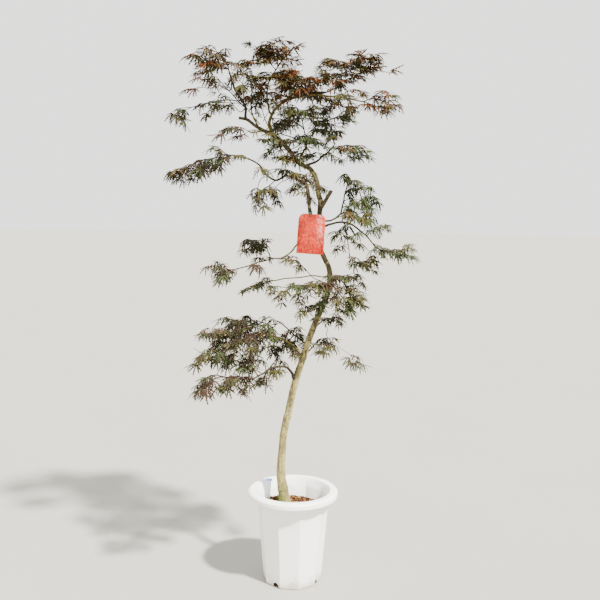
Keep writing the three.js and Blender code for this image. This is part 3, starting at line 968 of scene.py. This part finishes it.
def make_boughs(limbs, paints):
    """Every bough's bark, as one piece for each kind of bark. Unseeded, the noise bends them anew each run."""
    rng = random.Random(23)
    noise.seed_set(23)
    kinds = {"bough_bark": [], "olive_bough_bark": [], "young_bough_bark": []}
    for node in BOUGHS:
        young = node in YOUNG_BOUGHS
        points, radii = rooted(limbs[node], limbs)
        radii = np.maximum(radii, BOUGH_BARK["least_young" if young else "least"])
        points, radii = resample(points, radii, BOUGH_BARK["step"])
        points = wavy(points, rng)
        radii = swollen(points, radii, BOUGH_BARK["collar"], BOUGH_BARK["knots"], rng)
        tube = bark_tube(f"bark_{node}", points, radii, BOUGH_BARK["sides"])
        carve(tube, *BOUGH_BARK["relief"])
        kind = "young_bough_bark" if young else "bough_bark"
        kinds["olive_bough_bark" if node in OLIVE_BOUGHS else kind].append((node, tube))
    for name, paint in zip(kinds, paints):
        boughs = join([tube for _, tube in kinds[name]], name)
        smooth(boughs, 70)
        finish_piece(boughs, paint, [node for node, _ in kinds[name]])


# ---- Leaves ------------------------------------------------------------------------------------------

def leaf_lobe(rng, length, heading, droop):
    """One cut lobe: a narrow blade with forward teeth down both sides, as corners and faces."""
    bend = rng.uniform(-0.12, 0.12)
    corners = []
    faces = []
    for place, width in zip(LEAF["stations"], LEAF["half_widths"]):
        for side in (1, -1):
            corners.append((place * length, bend * place * place * length + side * width, 0.0))
    for i in range(len(LEAF["stations"]) - 1):
        left, right = 2 * i, 2 * i + 1
        faces += [(left, right, right + 2), (left, right + 2, left + 2)]
    for i, reach in enumerate(LEAF["teeth"]):
        for side in (0, 1):
            fore = 2 * i + 2 + side
            sign = 1 - 2 * side
            tooth = reach * rng.uniform(0.75, 1.25)
            rear = np.array(corners[fore]) * 0.45 + np.array(corners[fore - 2]) * 0.55
            corners.append(tuple(rear))
            corners.append(tuple(rear + np.array([2.5 * tooth, 0.6 * sign * tooth, -0.2 * tooth])))
            face = (len(corners) - 2, fore, len(corners) - 1)
            faces.append(face[::-1] if sign == 1 else face)
    corners = np.array(corners)
    twist = rng.uniform(-0.5, 0.5)
    c, s = math.cos(twist), math.sin(twist)
    corners = corners @ np.array([[1, 0, 0], [0, c, s], [0, -s, c]])
    sink = droop * (corners[:, 0] / length) ** 2 * length
    corners[:, 2] -= sink
    corners[:, 0] -= 0.3 * sink * droop
    turn = math.radians(heading)
    c, s = math.cos(turn), math.sin(turn)
    return corners @ np.array([[c, s, 0], [-s, c, 0], [0, 0, 1]]), np.array(faces)


def leaf_shape(rng):
    """A whole leaf lying along +X: its lobes fan out from the end of the stalk, the middle one longest."""
    heap = Heap()
    middle = (LEAF["lobes"] - 1) / 2
    for i in range(LEAF["lobes"]):
        off = (i - middle) / middle
        length = LEAF["length"] * (1 - 0.5 * abs(off) ** 1.4) * rng.uniform(0.88, 1.12)
        heading = off * LEAF["spread"] + rng.uniform(-8, 8)
        heap.add(*leaf_lobe(rng, length, heading, rng.uniform(0.0, 0.75)))
    return np.concatenate(heap.corners), np.concatenate(heap.faces)


LEAF_SHAPES = [leaf_shape(random.Random(100 + kind)) for kind in range(LEAF["kinds"])]


def turned(out, down, roll):
    """Axes of a leaf that points along out, tipped down and rolled, as rows."""
    flat = Vector((out.x, out.y, 0)).normalized()
    forward = flat * math.cos(down) - UP * math.sin(down)
    side = UP.cross(flat)
    side.rotate(Matrix.Rotation(roll, 3, forward))
    normal = forward.cross(side)
    return np.array([forward[:], side[:], normal[:]])


def tube_mesh(points, radii, sides):
    """Corners and faces of a thin tube, closed at both ends."""
    points = np.asarray(points, float)
    heading = np.gradient(points, axis=0)
    heading /= np.linalg.norm(heading, axis=1)[:, None]
    across = np.cross(heading[0], (0, 0, 1))
    if np.linalg.norm(across) < 0.1:
        across = np.array([1.0, 0, 0])
    rings = []
    for place, ahead, radius in zip(points, heading, radii):
        across = across - ahead * across.dot(ahead)
        across /= np.linalg.norm(across)
        other = np.cross(ahead, across)
        turns = np.arange(sides) * 2 * math.pi / sides
        rings.append(place + radius * (np.outer(np.cos(turns), across) + np.outer(np.sin(turns), other)))
    corners = np.vstack(rings + [points[:1], points[-1:]])
    faces = []
    rows = len(points)
    for row in range(rows - 1):
        for i in range(sides):
            a = row * sides + i
            b = row * sides + (i + 1) % sides
            faces += [(a, b, b + sides), (a, b + sides, a + sides)]
    last = (rows - 1) * sides
    for i in range(sides):
        faces.append((rows * sides, (i + 1) % sides, i))
        faces.append((rows * sides + 1, last + i, last + (i + 1) % sides))
    return corners, np.array(faces)


def add_tube(heap, line, radii, step, sides):
    """Adds a thin tube along a smooth line to a heap, and returns the line's points."""
    points, radii = resample(line, radii, step)
    heap.add(*tube_mesh(points, radii, sides))
    return points


# ---- Growth ------------------------------------------------------------------------------------------

class Mass:
    """One CAD mass of foliage: what lies inside it, and where twigs may end."""

    def __init__(self, node):
        self.tree = surface(node)
        self.low, self.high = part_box(node)
        self.middle = (self.low + self.high) / 2
        half = (self.high - self.low) / 2
        margins = zip(GROWTH["inset"], half)
        self.shrink = [max(1 - margin / extent, GROWTH["least"]) for margin, extent in margins]
        self.name = node.removeprefix("foliage_")
        self.spacing = SPACING.get(self.name, GROWTH["spacing"])
        self.tufts = [(Vector(tuft[:3]), tuft[3]) for tuft in TUFTS.get(self.name, [])]

    def holds(self, place):
        normal = self.tree.ray_cast(place, UP)[1]
        return normal is not None and normal.z > 0

    def gap(self, place):
        return 0.0 if self.holds(place) else self.tree.find_nearest(place)[3]

    def targets(self, rng):
        """Places for twig tips, spaced out in flat layers; a few stray out of the mass."""
        found = []
        for _ in range(GROWTH["tries"]):
            place = Vector(rng.uniform(a, b) for a, b in zip(self.low, self.high))
            if not self.holds(place):
                continue
            offset = place - self.middle
            place = self.middle + Vector(o * k for o, k in zip(offset, self.shrink))
            if rng.random() < GROWTH["stray"]:
                place += offset.normalized() * rng.uniform(0, GROWTH["stray_reach"])
            self.keep(place, found, self.spacing)
        for middle, reach in self.tufts:
            for _ in range(GROWTH["tuft_tries"]):
                offset = Vector(rng.uniform(-1, 1) for _ in range(3))
                if offset.length < 1:
                    place = middle + Vector((offset.x, offset.y, offset.z * 0.6)) * reach
                    self.keep(place, found, GROWTH["tuft_spacing"])
        return found

    def keep(self, place, found, spacing):
        """Adds a place, drawn in from the part's edge, if it has room."""
        for axis in (0, 1):
            low = CAD_BOX[0][axis] + GROWTH["edge"][axis]
            high = CAD_BOX[1][axis] - GROWTH["edge"][axis]
            place[axis] = min(max(place[axis], low), high)
        if not in_opening(place) and all(layered(place - other) > spacing for other in found):
            found.append(place)


def layered(step):
    """A step's length, with its rise counted for more."""
    return Vector((step.x, step.y, step.z * GROWTH["flatness"])).length


class Twigs:
    """A branching system: places, each with the place that it grew from. A root sits in a limb."""

    def __init__(self, roots):
        self.places, self.ahead, self.thick = map(list, zip(*roots))
        self.parents = [-1] * len(roots)
        self.gone = [0.0] * len(roots)
        self.least = [0.0] * len(roots)
        self.tips = []

    def add(self, place, parent):
        self.places.append(place)
        self.parents.append(parent)
        self.thick.append(self.thick[parent])
        self.ahead.append((place - self.places[parent]).normalized())
        self.gone.append(self.gone[parent] + (place - self.places[parent]).length)
        self.least.append(0.0)
        return len(self.places) - 1

    def lead(self, start, end, thick, rng):
        """Grows a long twig of its own from the place nearest to its start."""
        parent = min(range(len(self.places)), key=lambda i: (self.places[i] - start).length)
        pieces = max(2, round((end - start).length / GROWTH["step"]))
        for piece in range(pieces + 1):
            place = start.lerp(end, piece / pieces)
            if 0 < piece < pieces:
                place += Vector(rng.uniform(-0.003, 0.003) for _ in range(3))
            parent = self.add(place, parent)
            self.thick[parent] = thick
            self.least[parent] = thick * (1 - 0.45 * piece / pieces)
        self.tips.append(parent)

    def reach_for(self, target, rng):
        """Grows a twig to the target from the place that costs least: near, early and ahead."""
        best = None
        for i, place in enumerate(self.places):
            step = target - place
            turn = step.normalized().dot(self.ahead[i])
            cost = step.length * (GROWTH["straight"] - GROWTH["turning"] * turn)
            cost += GROWTH["balance"] * self.gone[i]
            if best is None or cost < best[0]:
                best = (cost, i)
        parent = best[1]
        start = self.places[parent]
        step = target - start
        pieces = max(1, round(step.length / GROWTH["step"]))
        across = step.cross(UP).normalized()
        lean = self.ahead[parent] - step.normalized() * self.ahead[parent].dot(step.normalized())
        for piece in range(1, pieces + 1):
            t = piece / pieces
            bow = step.length * 4 * t * (1 - t)
            place = start + step * t + (lean * GROWTH["lean"] + UP * GROWTH["lift"]) * bow
            if piece < pieces:
                place += across * rng.uniform(-0.004, 0.004) + UP * rng.uniform(-0.002, 0.002)
            parent = self.add(place, parent)
        self.tips.append(parent)

    def loads(self):
        """How many tips each place carries."""
        loads = [0] * len(self.places)
        for tip in self.tips:
            while tip >= 0:
                loads[tip] += 1
                tip = self.parents[tip]
        return loads

    def lines(self):
        """The system as lines, each as long as it can be and starting at the place that it leaves."""
        loads = self.loads()
        children = [[] for _ in self.places]
        for i, parent in enumerate(self.parents):
            if parent >= 0:
                children[parent].append(i)
        lines = []
        grown = [(parent, i) for i, parent in enumerate(self.parents) if parent >= 0]
        starts = [(parent, i) for parent, i in grown if self.parents[parent] < 0]
        while starts:
            parent, i = starts.pop()
            line = [parent]
            while True:
                line.append(i)
                if not children[i]:
                    break
                nexts = sorted(children[i], key=lambda child: -loads[child])
                starts += [(i, child) for child in nexts[1:]]
                i = nexts[0]
            lines.append((line, [self.radius(loads, place) for place in line]))
        return lines

    def radius(self, loads, i):
        grown = GROWTH["tip"] * max(loads[i], 1) ** GROWTH["thickening"]
        return max(self.least[i], min(grown, 0.85 * self.thick[i]))


def in_opening(place):
    """Whether the camera sees a place in one of the openings."""
    eye = Vector(CAMERA["at"])
    seen = eye + (place - eye) * (eye.y / (eye.y - place.y))
    return any(math.hypot(seen.x - x, seen.z - z) < reach for x, z, reach in OPENINGS)


def add_leaf(start, out, droop, size, rng, leaves, stalks):
    """One leaf on its stalk: the stalk leaves the twig outwards and bends over."""
    axes = turned(out, droop, rng.uniform(-0.35, 0.35))
    forward = Vector(axes[0])
    length = size * rng.uniform(0.012, 0.024)
    rise = (Vector((out.x, out.y, 0)).normalized() + UP * (0.25 - 0.6 * droop)).normalized()
    middle = start + rise * (length * 0.55)
    base = middle + (rise + forward).normalized() * (length * 0.45)
    if in_opening(base + forward * (0.5 * size * LEAF["length"])):
        return
    add_tube(stalks, [start, middle, base], [0.0006, 0.0005, 0.00055], length / 3, 3)
    corners, faces = rng.choice(LEAF_SHAPES)
    leaves.add(corners * size @ axes + np.array(base), faces)


def add_spray(line, droop, shares, rng, heaps):
    """Leaves in facing pairs back from a twig's tip, closest and most forward there, mostly one colour."""
    gone = distances(line)
    back = 0.0
    wide = rng.uniform(16, 30)
    own = deal(shares, rng)
    while back < gone[-1] - 0.01 and back < GROWTH["spray"]:
        spot = gone[-1] - back
        start = Vector(np.interp(spot, gone, line[:, axis]) for axis in range(3))
        rear = Vector(np.interp(spot - 0.012, gone, line[:, axis]) for axis in range(3))
        flat = Vector((start.x - rear.x, start.y - rear.y, 0))
        if flat.length < 0.002:
            turn = rng.uniform(0, 2 * math.pi)
            flat = Vector((math.cos(turn), math.sin(turn), 0))
        for side in (1, -1):
            if rng.random() < 0.08:
                continue
            out = flat.normalized()
            turn = math.radians(side * (wide + rng.uniform(-12, 12)))
            out.rotate(Matrix.Rotation(turn, 3, "Z"))
            color = own if rng.random() < 0.45 else deal(shares, rng)
            down = droop + rng.uniform(-0.25, 0.25)
            add_leaf(start, out, down, rng.uniform(0.62, 1.0), rng, heaps[color], heaps["stalks"])
        back += rng.uniform(0.01, 0.018)
        wide += rng.uniform(8, 16)


def deal(shares, rng):
    """A leaf colour, drawn by the shares."""
    return rng.choices(list(shares), list(shares.values()))[0]


def roots_of(mass, limbs):
    """Where a mass's twigs may leave the limbs: all along the ends of boughs, and where a stem passes."""
    roots = []
    nearest = None
    for node in STEMS + BOUGHS:
        line, sizes = resample(limbs[node].points, limbs[node].radii, 0.012)
        last = len(line) - 1
        for i in range(1, last + 1):
            place = Vector(line[i])
            gap = mass.gap(place)
            ahead = Vector(line[i] - line[i - 1]).normalized()
            if i < last:
                ahead = (ahead + (mass.middle - place).normalized() * 0.5).normalized()
            root = (place, ahead, float(sizes[i]))
            if nearest is None or gap < nearest[0]:
                nearest = (gap, root)
            near = 0.004 if node in STEMS else 0.05 if i > 0.5 * last else 0.01
            if gap < near:
                roots.append(root)
    return roots or [nearest[1]]


def fill_mass(node, limbs, number, heaps):
    """Grows one mass: a twig to each target, those near the limbs first, then leaves in sprays."""
    rng = random.Random(500 + number)
    mass = Mass(node)
    roots = roots_of(mass, limbs)
    twigs = Twigs(roots)
    for name, start, end, thick in LEADS:
        if name == mass.name:
            twigs.lead(Vector(start), Vector(end), thick, rng)
    targets = mass.targets(rng)
    targets.sort(key=lambda place: min((place - root[0]).length for root in roots))
    for target in targets:
        twigs.reach_for(target, rng)
    shares = SHARES.get(mass.name, SHARES[SLOTS[node]])
    droop = DROOP.get(mass.name, GROWTH["droop"])
    for places, sizes in twigs.lines():
        line = [twigs.places[i] for i in places]
        points = add_tube(heaps["twigs"], line, sizes, 0.008, 5 if sizes[0] > 0.0013 else 4)
        add_spray(points, droop, shares, rng, heaps)
    return shares


def side_sprays(limbs, heaps):
    """Short side twigs with a few leaves along the outer part of each bough."""
    rng = random.Random(77)
    for node in BOUGHS:
        line, _ = resample(limbs[node].points, limbs[node].radii, 0.006)
        place = 0.5 * len(line)
        while place < len(line) - 3:
            i = int(place)
            ahead = Vector(line[i + 1] - line[i - 1]).normalized()
            out = ahead.cross(UP).normalized() * rng.choice((1, -1)) + ahead * 0.7
            out += UP * rng.uniform(-0.2, 0.3)
            start = Vector(line[i])
            tip = start + out.normalized() * rng.uniform(0.03, 0.06)
            middle = (start + tip) / 2 + UP * 0.003
            place += rng.uniform(12, 22)
            if in_opening(tip):
                continue
            points = add_tube(heaps["twigs"], [start, middle, tip], [0.0011, 0.001, 0.0009], 0.01, 4)
            add_spray(points, 0.4, SHARES["leaf_olive"], rng, heaps)


def make_foliage(limbs, twig_paint, young_paint, stalk_paint):
    heaps = {name: Heap() for name in ["twigs", "shoots", "stalks", *LEAF_COLORS]}
    stands_for = {name: [] for name in LEAF_COLORS}
    for number, node in enumerate(MASSES):
        for color in fill_mass(node, limbs, number, heaps):
            stands_for[color].append(node)
    side_sprays(limbs, heaps)
    for start, end, thick in SHOOTS:
        middle = Vector(start).lerp(Vector(end), 0.5) + Vector((-0.004, 0, 0.003))
        add_tube(heaps["shoots"], [start, middle, end], [thick, 0.85 * thick, 0.6 * thick], 0.006, 6)
    finish_piece(heaps["shoots"].piece("young_shoots"), young_paint)
    finish_piece(heaps["twigs"].piece("twigs"), twig_paint, MASSES)
    finish_piece(heaps["stalks"].piece("leaf_stalks"), stalk_paint, MASSES)
    for name, (color, slot) in LEAF_COLORS.items():
        leaves = heaps[name].piece(f"leaves_{name}")
        finish_piece(leaves, leaf_paint(f"leaf_{name}", color), stands_for[name])


# ---- Pot and soil ------------------------------------------------------------------------------------

def corner_turn(mesh):
    """The angle of one corner of a shape's lowest ring."""
    floor = min(corner.co.z for corner in mesh.vertices)
    foot = [corner.co for corner in mesh.vertices if corner.co.z < floor + MERGE]
    farthest = max(foot, key=lambda place: round(place.xy.length, 5))
    return math.atan2(farthest.y, farthest.x)


def make_pot(paint):
    """A ten-sided sheet drawn up from the floor, rounded at the collar, rolled over and given a wall."""
    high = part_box("pot")[1]
    inner = high.y - POT["rim_width"]
    lip = high.y - POT["wall"]
    under = high.z - POT["wall"]
    rise = [
        (POT["foot"] + 0.001, POT["floor"], 0),
        (POT["foot"] + 0.0085, 0.095, 0),
        (POT["foot"] + 0.0166, 0.19, 0),
        (POT["neck"], POT["neck_height"], 0),
        (POT["neck"] + 0.0004, 0.291, 0.35),
        (POT["neck"] + 0.0012, 0.298, 0.6),
        (inner + POT["wall"], POT["shoulder"], 1),
        (inner + 0.006, under, 1),
        (lip - 0.0045, under, 1),
        (lip, under - 0.004, 1),
        (lip, high.z - POT["lip"], 1),
    ]
    deselect()
    bpy.ops.mesh.primitive_circle_add(vertices=POT["sides"], radius=POT["foot"], fill_type="NOTHING")
    pot = active("pot_shell")
    edit()
    bpy.ops.mesh.subdivide(number_cuts=POT["cuts"])
    draw_up(pot, rise, 0.0)
    pick(pot, "verts", lambda corner: corner.co.z < MERGE)
    bpy.ops.mesh.select_mode(type="VERT")
    bpy.ops.mesh.edge_face_add()
    bpy.ops.mesh.select_all(action="SELECT")
    bpy.ops.mesh.normals_make_consistent(inside=False)
    end_edit()
    side = pot.data.polygons[0]
    if side.normal.dot(Vector((*side.center.xy, 0))) <= 0:
        pot.data.flip_normals()
    pot.data.transform(Matrix.Rotation(corner_turn(NODES["pot"].data) - corner_turn(pot.data), 4, "Z"))
    modify(pot, "SOLIDIFY", {"thickness": POT["wall"], "offset": -1, "use_even_offset": True})
    for i in range(POT["notches"]):
        turn = math.radians(POT["notch_turn"]) + i * 2 * math.pi / POT["notches"]
        where = (POT["foot"] * math.cos(turn), POT["foot"] * math.sin(turn), POT["floor"])
        bore(pot, where, (0, math.pi / 2, turn), POT["notch_radius"], 0.04)
        turn = i * 2 * math.pi / POT["notches"]
        where = (POT["drain_circle"] * math.cos(turn), POT["drain_circle"] * math.sin(turn), 0)
        bore(pot, where, (0, 0, 0), POT["drain_radius"], 0.03)
    soft = {"width": 0.0012, "segments": 3, "limit_method": "ANGLE", "angle_limit": math.radians(30)}
    modify(pot, "BEVEL", soft)
    smooth(pot, 40)
    finish_piece(pot, paint, ["pot"])


def bore(piece, where, rotation, radius, depth, sides=32):
    """Cuts a round hole."""
    deselect()
    bpy.ops.mesh.primitive_cylinder_add(
        vertices=sides,
        radius=radius,
        depth=depth,
        location=where,
        rotation=rotation,
    )
    cutter = active("cutter")
    modify(piece, "BOOLEAN", {"operation": "DIFFERENCE", "object": cutter, "solver": "EXACT"})
    bpy.data.objects.remove(cutter)


def soil_height(place, edge):
    """The soil's level at a place: heaped up to the left, a little lower at the wall, and uneven."""
    out = math.hypot(place[0], place[1]) / edge
    drop = 0.004 * max(0.0, (out - 0.7) / 0.3)
    left = SOIL["ridge"] - place[0]
    heap = min(0.11 * left, 0.008) if left > 0 else max(0.055 * left, -0.007)
    crumbs = 0.0016 * noise.noise(Vector((place[0] * 38, place[1] * 38, 0)))
    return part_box("soil")[1].z - drop + heap + crumbs


def make_soil_bed(edge, corner, paint):
    """The loose bed that fills the pot up to the strewn grains. Its colour is dark soil made darker than any
    grain, as painted shade in the gaps between them.
    """
    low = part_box("soil")[0].z
    wide, top, _ = SOIL["rise"][-1]
    rings = [(wide * left / SOIL["rings"], top, 0) for left in range(SOIL["rings"] - 1, 0, -1)]
    deselect()
    bpy.ops.mesh.primitive_circle_add(
        vertices=POT["sides"],
        radius=SOIL["foot"],
        fill_type="NGON",
        location=(0, 0, low),
    )
    bed = active("soil_bed")
    bpy.ops.object.transform_apply(location=True)
    edit()
    bpy.ops.mesh.subdivide(number_cuts=3)
    draw_up(bed, SOIL["rise"] + rings, low)
    bpy.ops.mesh.poke()
    bpy.ops.mesh.select_all(action="SELECT")
    bpy.ops.mesh.normals_make_consistent(inside=False)
    end_edit()
    bed.data.transform(Matrix.Rotation(corner - corner_turn(bed.data), 4, "Z"))
    for place in bed.data.vertices:
        if place.co.z > top - MERGE:
            place.co.z = soil_height(place.co, edge) - 0.001
    finish_piece(bed, paint, ["soil"])


def make_soil(bed_paint, grain_paints):
    """A loose bed, and grains of bark and clay strewn over it."""
    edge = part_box("soil")[1].x - SOIL["clear"]
    corner = corner_turn(NODES["pot"].data)
    side = 2 * math.pi / POT["sides"]
    rng = random.Random(41)
    deselect()
    bpy.ops.mesh.primitive_ico_sphere_add(subdivisions=1, radius=1)
    grain = active("grain")
    shape = np.array([place.co[:] for place in grain.data.vertices])
    faces = np.array([list(face.vertices) for face in grain.data.polygons])
    bpy.data.objects.remove(grain)
    heaps = [Heap() for _ in grain_paints]
    for _ in range(SOIL["grains"]):
        turn = rng.uniform(0, 2 * math.pi)
        flat = math.cos(side / 2) / math.cos((turn - corner) % side - side / 2)
        out = edge * flat * math.sqrt(rng.random())
        place = (out * math.cos(turn), out * math.sin(turn))
        size = SOIL["smallest"] + SOIL["spread"] * rng.random() ** 2.2
        lumps = np.array([[rng.uniform(0.75, 1.2)] for _ in shape])
        stretch = np.array([rng.uniform(0.8, 1.5), rng.uniform(0.8, 1.2), rng.uniform(0.5, 0.9)])
        roll = rng.uniform(0, math.pi)
        spin = np.array(Matrix.Rotation(roll, 3, Vector((rng.random(), rng.random(), 1))))
        level = soil_height(place, edge) + rng.uniform(-0.3, 0.5) * size
        corners = (shape * lumps * stretch * size) @ spin + np.array([place[0], place[1], level])
        rng.choices(heaps, SOIL["shares"])[0].add(corners, faces)
    names = ("soil_grains_brown", "soil_grains_tan", "soil_grains_dark")
    for heap, name, paint in zip(heaps, names, grain_paints):
        finish_piece(heap.piece(name), paint)
    make_soil_bed(edge, corner, bed_paint)


# ---- Label, card and tie -----------------------------------------------------------------------------

def make_label(paint):
    """A thin blade pushed into the soil: a wide head, a blade that narrows downwards, and a slight bow."""
    low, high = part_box("plant_label")
    middle = (low + high) / 2
    width = high.x - low.x
    tall = high.z - low.z
    deselect()
    bpy.ops.mesh.primitive_cube_add(size=1, location=middle, scale=(width, LABEL["thick"], tall))
    label = active("label_blade")
    bpy.ops.object.transform_apply(location=True, scale=True)

    def corner_edge(edge):
        """Whether the edge runs through the blade's thickness."""
        return abs(edge.verts[0].co.y - edge.verts[1].co.y) > LABEL["thick"] / 2

    edit()
    pick(label, "edges", lambda edge: corner_edge(edge) and edge.verts[0].co.z > middle.z)
    bpy.ops.mesh.bevel(offset=LABEL["corner"], segments=5)
    pick(label, "edges", lambda edge: corner_edge(edge) and edge.verts[0].co.z < low.z + 0.001)
    bpy.ops.mesh.bevel(offset=width * LABEL["point"], segments=1)
    neck = high.z - LABEL["neck"]
    levels = [low.z + tall * i / LABEL["rings"] for i in range(1, LABEL["rings"])]
    for level in levels + [neck - 0.001, neck + 0.001]:
        bpy.ops.mesh.select_all(action="SELECT")
        bpy.ops.mesh.bisect(plane_co=(0, 0, level), plane_no=(0, 0, 1))
    end_edit()
    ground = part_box("soil")[1].z
    for corner in label.data.vertices:
        up = (corner.co.z - middle.z) / (tall / 2)
        across = (corner.co.x - middle.x) / (width / 2)
        above = max(corner.co.z - ground, 0)
        blade = LABEL["foot"] + LABEL["widening"] * above
        half = width / 2 * (LABEL["head"] if corner.co.z > neck else blade)
        corner.co.x = middle.x - LABEL["aside"] + LABEL["lean"] * above + half * across
        corner.co.y += 0.0024 * up + 0.0009 * (up * up - 0.4) - LABEL["back"]
        corner.co.y += 0.0005 * (across * across - 0.5)
    smooth(label, 35)
    finish_piece(label, paint, ["plant_label"])


def make_card(paint):
    """A laminated card with its top corners rounded, a punched hole, and a slight curl."""
    low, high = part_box("card")
    width = CARD["width"]
    tall = CARD["tall"]
    deselect()
    bpy.ops.mesh.primitive_plane_add(size=1)
    card = active("card_sheet")
    edit()
    bpy.ops.transform.resize(value=(width, tall, 1), center_override=(0, 0, 0))
    pick(card, "verts", lambda corner: corner.co.y > 0)
    bpy.ops.mesh.bevel(offset=CARD["corner"], segments=10, affect="VERTICES")
    for i in range(1, CARD["columns"]):
        across = width * (i / CARD["columns"] - 0.5)
        bpy.ops.mesh.select_all(action="SELECT")
        bpy.ops.mesh.bisect(plane_co=(across, 0, 0), plane_no=(1, 0, 0))
    end_edit()
    modify(card, "SOLIDIFY", {"thickness": CARD["thick"], "offset": 0})
    aside, below = CARD["hole"]
    bore(card, (aside, tall / 2 - below, 0), (0, 0, 0), CARD["hole_radius"], 0.02, 24)
    for corner in card.data.vertices:
        across = corner.co.x / (width / 2)
        corner.co.z += CARD["curl"] * (across * across - 0.35) * (0.5 + corner.co.y / tall)
    swing = Matrix.Rotation(math.radians(CARD["swing"]), 4, "Y")
    upright = Matrix.Rotation(math.pi / 2, 4, "X")
    card.data.transform(Matrix.Translation((low + high) / 2) @ swing @ upright)
    modify(card, "BEVEL", {"width": 0.00025, "segments": 2, "limit_method": "ANGLE"})
    smooth(card, 40)
    finish_piece(card, paint, ["card"])


def wire_ring(name, where, rotation, radius, segments):
    deselect()
    bpy.ops.mesh.primitive_torus_add(
        location=where,
        rotation=rotation,
        major_radius=radius,
        minor_radius=WIRE["radius"],
        major_segments=segments,
        minor_segments=10,
    )
    return active(name)


def make_tie(limbs, paint):
    """Green wire: a ring round the left stem, and an eye through the card's hole."""
    low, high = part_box("card_tie")
    line, sizes = resample(limbs["left_stem"].points, limbs["left_stem"].radii, 0.002)
    spot = int(np.argmin(np.abs(line[:, 2] - (high.z - 0.002))))
    ahead = Vector(line[spot + 1] - line[spot - 1]).normalized()
    round_stem = UP.rotation_difference(ahead).to_euler()
    radius = float(sizes[spot]) + WIRE["radius"] + WIRE["slack"]
    ring = wire_ring("tie_ring", line[spot], round_stem, radius, 36)
    out = WIRE["eye"] + WIRE["radius"]
    eye = (line[spot][0], low.y + out, low.z + out)
    loop = wire_ring("tie_loop", eye, (0, math.pi / 2, 0), WIRE["eye"], 32)
    tie = join([ring, loop], "card_tie_wire")
    smooth(tie, 60)
    finish_piece(tie, paint, ["card_tie"])


# ---- Studio ------------------------------------------------------------------------------------------

def make_floor(paint):
    deselect()
    bpy.ops.mesh.primitive_circle_add(vertices=96, radius=60, fill_type="NGON", location=(0, 0, -0.0005))
    floor = active("studio_floor")
    floor.data.materials.append(paint)


def make_lights():
    world = bpy.data.worlds.new("studio")
    world.use_nodes = True
    backdrop = world.node_tree.nodes["Background"]
    backdrop.inputs["Color"].default_value = LIGHT["sky"]
    backdrop.inputs["Strength"].default_value = LIGHT["sky_strength"]
    bpy.context.scene.world = world
    key = bpy.data.lights.new("key", "SUN")
    key.energy = LIGHT["sun_strength"]
    key.angle = math.radians(LIGHT["sun_width"])
    key.color = LIGHT["sun"]
    turn = math.radians(LIGHT["turn"])
    rise = math.radians(LIGHT["rise"])
    toward = Vector((math.sin(turn) * math.cos(rise), -math.cos(turn) * math.cos(rise), math.sin(rise)))
    lamp = linked("key", key)
    lamp.rotation_euler = toward.to_track_quat("Z", "Y").to_euler()
    lamp.location = toward * 4


def make_camera():
    lens = bpy.data.cameras.new("camera")
    lens.lens = CAMERA["lens"]
    lens.sensor_width = 36
    lens.shift_y = CAMERA["shift_up"]
    camera = linked("camera", lens)
    tilt = Matrix.Rotation(math.radians(90 - CAMERA["pitch"]), 4, "X")
    roll = Matrix.Rotation(math.radians(CAMERA["roll"]), 4, "Z")
    camera.matrix_world = Matrix.Translation(CAMERA["at"]) @ tilt @ roll
    bpy.context.scene.camera = camera


# ---- Assembly ----------------------------------------------------------------------------------------

make_camera()
make_lights()
make_floor(floor_paint())
LIMBS = find_limbs()
make_stems(LIMBS, bark_paint())
make_snag(LIMBS["leader"], bough_paint("stub_bark", (0.1, 0.075, 0.035, 1), (0.024, 0.017, 0.009, 1)))
YOUNG_BARK = bough_paint(
    "young_bark",
    (0.16, 0.14, 0.025, 1),
    (0.05, 0.045, 0.012, 1),
    (0.026, 0.02, 0.01, 1),
)
make_boughs(
    LIMBS,
    [
        bough_paint("bough_bark", (0.036, 0.027, 0.014, 1), (0.014, 0.01, 0.006, 1)),
        bough_paint("olive_bark", (0.11, 0.09, 0.02, 1), (0.022, 0.017, 0.008, 1)),
        YOUNG_BARK,
    ],
)
make_foliage(
    LIMBS,
    bough_paint("twig_bark", (0.03, 0.019, 0.01, 1), (0.014, 0.009, 0.006, 1)),
    YOUNG_BARK,
    bough_paint("stalk", (0.12, 0.025, 0.014, 1), (0.05, 0.016, 0.01, 1)),
)
make_pot(pot_paint())
make_soil(
    # The bed: dark soil, made darker than any grain as painted shade in the gaps between the grains.
    soil_paint("soil_bed", (0.03, 0.012, 0.006, 1), (0.012, 0.005, 0.003, 1)),
    [
        soil_paint("grain_brown", (0.13, 0.048, 0.012, 1), (0.055, 0.02, 0.007, 1)),
        soil_paint("grain_tan", (0.4, 0.235, 0.085, 1), (0.22, 0.11, 0.036, 1)),
        soil_paint("grain_dark", (0.04, 0.022, 0.013, 1), (0.016, 0.009, 0.006, 1)),
    ],
)
make_label(label_paint())
make_card(card_paint())
make_tie(LIMBS, tie_paint())

bpy.context.view_layer.update()
